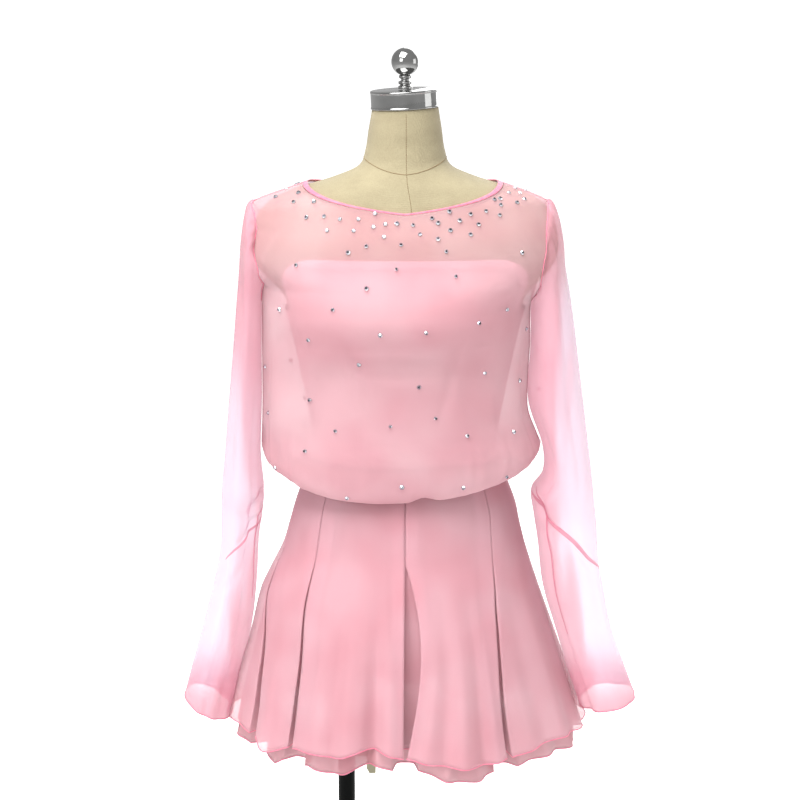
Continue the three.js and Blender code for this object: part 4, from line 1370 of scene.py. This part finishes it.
def make_stand():
    """Pole, foot plate and the pole's socket."""
    tall = SOCKET_FOOT_Z - PLATE_HEIGHT - 2 * SEAM
    pole = turned("pole_tube", [(0.01, 0), (POLE_RADIUS, 0), (POLE_RADIUS, tall), (0.01, tall)], 64, BLACK,
                  "black_paint", (POLE_X, PLATE_HEIGHT + SEAM))
    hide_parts("pole")
    profile = rounded([
        (0.01, 0), (PLATE_RADIUS - 1, 0), (PLATE_RADIUS, 1), (PLATE_RADIUS, PLATE_HEIGHT - 3),
        (PLATE_RADIUS - 4, PLATE_HEIGHT), (0.01, PLATE_HEIGHT),
    ], 3, 5)
    plate = turned("foot_plate", profile, 160, BLACK, "black_paint")
    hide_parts("base_plate")
    socket = bpy.data.objects.get("pole_socket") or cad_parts["pole_socket"]
    for slot in socket.material_slots:
        slot.material = BEIGE


def make_bodice():
    """Overlay, its binding and seams, and the under-bodice."""
    made = {}
    angle = level_turns(240)
    foot = neck_height(angle) - BINDING_WIDTH
    rows = [bodice_point(angle, foot + BINDING_WIDTH * share) for share in (0, 0.33, 0.67, 1)]
    binding = cloth("neck_binding_cloth", np.array(rows), EDGE, "trim", ["neck_binding"], True)
    binding.modifiers["wall"].thickness = 1.0 * MM
    for back, side in ((False, "front"), (True, "back")):
        node = f"under_bodice_{side}"
        under = cloth(f"{node}_cloth", under_bodice_grid(back), LINING, "lining", [node])
        grid = bodice_grid(back)
        over = cloth(f"bodice_{side}_cloth", grid, CHIFFON, "chiffon", [f"bodice_{side}"])
        made[side] = grid
    side_seams = [made["front"][ROLL_ROWS + 1:-YOKE_ROWS, column] for column in (0, -1)]
    edging("bodice_side_seams", side_seams, SEAM_RADIUS)
    edging("shoulder_seams", [shoulder_seam(side) for side in (-1, 1)], SEAM_RADIUS)
    loops = [armhole_loop(side, 120, 0.9) for side in (-1, 1)]
    edging("armhole_seams", loops, SEAM_RADIUS, closed=True)
    return made


def shoulder_seam(side):
    """Points of a shoulder seam from the armhole to the neck."""
    start = bodice_point(side * 90.0, ARMHOLE_TOP_Z)
    end = bodice_point(side * 90.0, NECK_SIDE_Z - BINDING_WIDTH)
    return np.array([mix(start, end, t) for t in np.linspace(0, 1, 12)])


def elbow_folds(name, side, grid):
    """The folds lie against the sleeve and run with it."""
    rows, columns = grid.shape[:2]
    count = len(SLEEVES[side]["outX"])
    parts = []
    for which, half, way in ELBOW_FOLDS:
        if which != side:
            continue
        spots = between_rings(np.array(way)[:, None, :], 40)[0][:, 0]
        turn = spots[:, 0] if side < 0 else 1 - spots[:, 0]
        row = (rows - 1) * (1 - (spots[:, 1] + 1) / count)
        line = grid_spots(grid, row, turn * columns)
        middle = grid.mean(axis=1)[np.clip(row.astype(int), 0, rows - 1)]
        out = line - middle
        out[:, 2] = 0
        out /= np.linalg.norm(out, axis=1)[:, None]
        parts.append(flat_fold(line + out * FOLD_LIFT, out, half))
    return piece(f"sleeve_{name}_folds", *joined(parts), FOLD_CHIFFON, "sleeve_chiffon")


def grid_spots(grid, row, column):
    """Points of a closed grid between its own."""
    i = np.clip(row.astype(int), 0, len(grid) - 2)
    k = np.floor(column).astype(int)
    down, across = (row - i)[:, None], (column - k)[:, None]
    k, n = k % grid.shape[1], (k + 1) % grid.shape[1]
    upper = grid[i, k] * (1 - across) + grid[i, n] * across
    lower = grid[i + 1, k] * (1 - across) + grid[i + 1, n] * across
    return upper * (1 - down) + lower * down


def flat_fold(line, out, half):
    """A flattened loop of cloth along a line, narrowing to nothing at both ends."""
    sides = 10
    ahead = np.gradient(line, axis=0)
    ahead /= np.linalg.norm(ahead, axis=1)[:, None]
    beside = np.cross(ahead, out)
    taper = np.sin(np.linspace(0.04, 0.96, len(line)) * math.pi) ** 0.6
    turns = 2 * math.pi * np.arange(sides) / sides
    width = (half * taper)[:, None, None] * np.cos(turns)[None, :, None] * beside[:, None]
    depth = FOLD_THICK * taper[:, None, None] * np.sin(turns)[None, :, None] * out[:, None]
    return loft(line[:, None] + width + depth)


def make_sleeves():
    """Two sheer sleeves with rolled cuffs."""
    grids = {}
    for side, name in ((-1, "left"), (1, "right")):
        grid = sleeve_grid(side)
        nodes = [f"sleeve_{name}_upper", f"sleeve_{name}_lower"]
        sleeve = cloth(f"sleeve_{name}_cloth", grid, SLEEVE_CHIFFON, "sleeve_chiffon", nodes, True)
        hem = edging(f"sleeve_{name}_hem", [grid[0]], HEM_RADIUS, closed=True)
        folds = elbow_folds(name, side, grid)
        grids[side] = grid
    return grids


def make_skirt():
    """Two layers of chiffon in inverted pleats, each with a rolled hem."""
    for layer, look in (("outer", SKIRT_CHIFFON), ("under", SHADED_UNDER_CHIFFON)):
        for back, side in ((False, "front"), (True, "back")):
            grid = skirt_grid(layer, back)
            node = f"skirt_{layer}_{side}"
            made = cloth(f"{node}_cloth", grid, look, "chiffon", [node])
            hem = edging(f"{node}_hem", [grid[0]], HEM_RADIUS)


def stone_mesh(place, normal, radius, spin):
    """One faceted crystal: its low crown, and the flat table on top."""
    normal = np.array(normal) / np.linalg.norm(normal)
    side = np.cross(normal, (0, 0, 1.0))
    side /= np.linalg.norm(side)
    up = np.cross(side, normal)
    turn = 2 * math.pi * np.arange(STONE_SIDES)[:, None] / STONE_SIDES + spin
    way = np.cos(turn) * side + np.sin(turn) * up
    levels = ((1.0, 0.0), (1.0, 0.35), (0.55, 0.85))
    rings = [np.array(place) + radius * (share * way + height * normal) for share, height in levels]
    faces = [list(reversed(range(STONE_SIDES)))] + grid_faces(len(levels), STONE_SIDES, True)
    return (np.concatenate(rings), faces), (rings[-1], [list(range(STONE_SIDES))])


def cloth_hit(skin, start, way):
    """Where a line first meets the cloth, and the direction there back towards its start."""
    place, normal, _, _ = skin.ray_cast(start, way)
    if place is not None and normal.dot(way) > 0:
        normal = -normal
    return place, normal


def make_stones(grids):
    """Crystals on the front where the photograph shows them, and like ones on the back."""
    parts = [(grid.reshape(-1, 3).tolist(), grid_faces(*grid.shape[:2], closed)) for grid, closed in grids]
    points, faces = joined(parts)
    skin = BVHTree.FromPolygons([tuple(point) for point in points], faces)
    eye = Vector(CAMERA_PLACE) / MM
    ahead = (Vector(CAMERA_AIM) / MM - eye).normalized()
    right = ahead.cross(Vector((0, 0, 1))).normalized()
    above = right.cross(ahead)
    draw = np.random.default_rng(5)
    parts = []
    middle = IMAGE_SIDE / 2
    for column, row in STONES:
        way = ahead + right * ((column - middle) / FOCAL_PIXELS) + above * ((middle - row) / FOCAL_PIXELS)
        place, normal = cloth_hit(skin, eye, way.normalized())
        if place is None:
            continue
        radius = STONE_RADIUS * draw.uniform(0.85, 1.12)
        parts.append(stone_mesh(place + normal * WALL / 2, normal, radius, draw.uniform(0, 1)))
        behind = Vector((-place.x + draw.uniform(-6, 6), 1000, place.z + 8 + draw.uniform(-5, 5)))
        place, normal = cloth_hit(skin, behind, Vector((0, -1, 0)))
        if place is not None and place.y >= 0:
            parts.append(stone_mesh(place + normal * WALL / 2, normal, radius, draw.uniform(0, 1)))
    piece("crystal_crowns", *joined([crown for crown, _ in parts]), CROWN, "chrome", False)
    # The tables carry the painted dark reflection.
    piece("crystal_tables", *joined([top for _, top in parts]), TABLE_REFLECTION, "chrome", False)


def aimed(name, data, place, aim):
    """A camera or lamp that looks at a point."""
    made = bpy.data.objects.new(name, data)
    bpy.context.scene.collection.objects.link(made)
    made.location = place
    made.rotation_euler = (Vector(aim) - Vector(place)).to_track_quat("-Z", "Y").to_euler()
    return made


def make_camera():
    """The photograph's camera."""
    data = bpy.data.cameras.new("camera")
    data.sensor_width = SENSOR
    data.lens = SENSOR * FOCAL_PIXELS / IMAGE_SIDE
    bpy.context.scene.camera = aimed("camera", data, CAMERA_PLACE, CAMERA_AIM)


def lamp(name, place, aim, side, power):
    """A square soft light."""
    data = bpy.data.lights.new(name, "AREA")
    data.shape = "SQUARE"
    data.size = side
    data.energy = power
    aimed(name, data, place, aim)


def make_studio():
    """Pale floor, white surroundings and soft lights."""
    mesh = bpy.data.meshes.new("studio_floor")
    corners = [(x * FLOOR_HALF, y * FLOOR_HALF, 0) for x, y in ((-1, -1), (1, -1), (1, 1), (-1, 1))]
    mesh.from_pydata(corners, [], [(0, 1, 2, 3)])
    mesh.materials.append(studio_floor())
    floor = bpy.data.objects.new("studio_floor", mesh)
    bpy.context.scene.collection.objects.link(floor)
    world = bpy.data.worlds.new("studio")
    world.use_nodes = True
    nodes, links = world.node_tree.nodes, world.node_tree.links
    nodes["Background"].inputs["Color"].default_value = (1, 1, 1, 1)
    seen = nodes.new("ShaderNodeLightPath").outputs["Is Camera Ray"]
    strength = nodes.new("ShaderNodeMapRange")
    strength.inputs["To Min"].default_value = WORLD_LIGHT
    strength.inputs["To Max"].default_value = WORLD_SEEN
    links.new(seen, strength.inputs["Value"])
    links.new(strength.outputs["Result"], nodes["Background"].inputs["Strength"])
    bpy.context.scene.world = world
    lamp("top_light", (-0.6, -0.9, 3.3), (0, 0, 1.0), 1.8, 98)
    lamp("key_light", (-1.9, -2.8, 2.3), (0, 0, 0.95), 1.5, 23)
    lamp("back_light", (1.1, 2.5, 1.9), (0, 0, 0.9), 2.4, 44)
    lamp("side_light", (3.0, -0.2, 1.5), (0, 0, 1.0), 1.5, 12)


make_camera()
make_form()
make_form_seams()
make_finial()
make_stand()
bodice = make_bodice()
sleeves = make_sleeves()
make_skirt()
skins = [(grid, False) for grid in bodice.values()] + [(grid, True) for grid in sleeves.values()]
make_stones(skins)
make_studio()

scene = bpy.context.scene
scene.view_settings.view_transform = "Standard"
scene.cycles.transparent_max_bounces = 20
scene.cycles.max_bounces = 4
scene.cycles.diffuse_bounces = 2
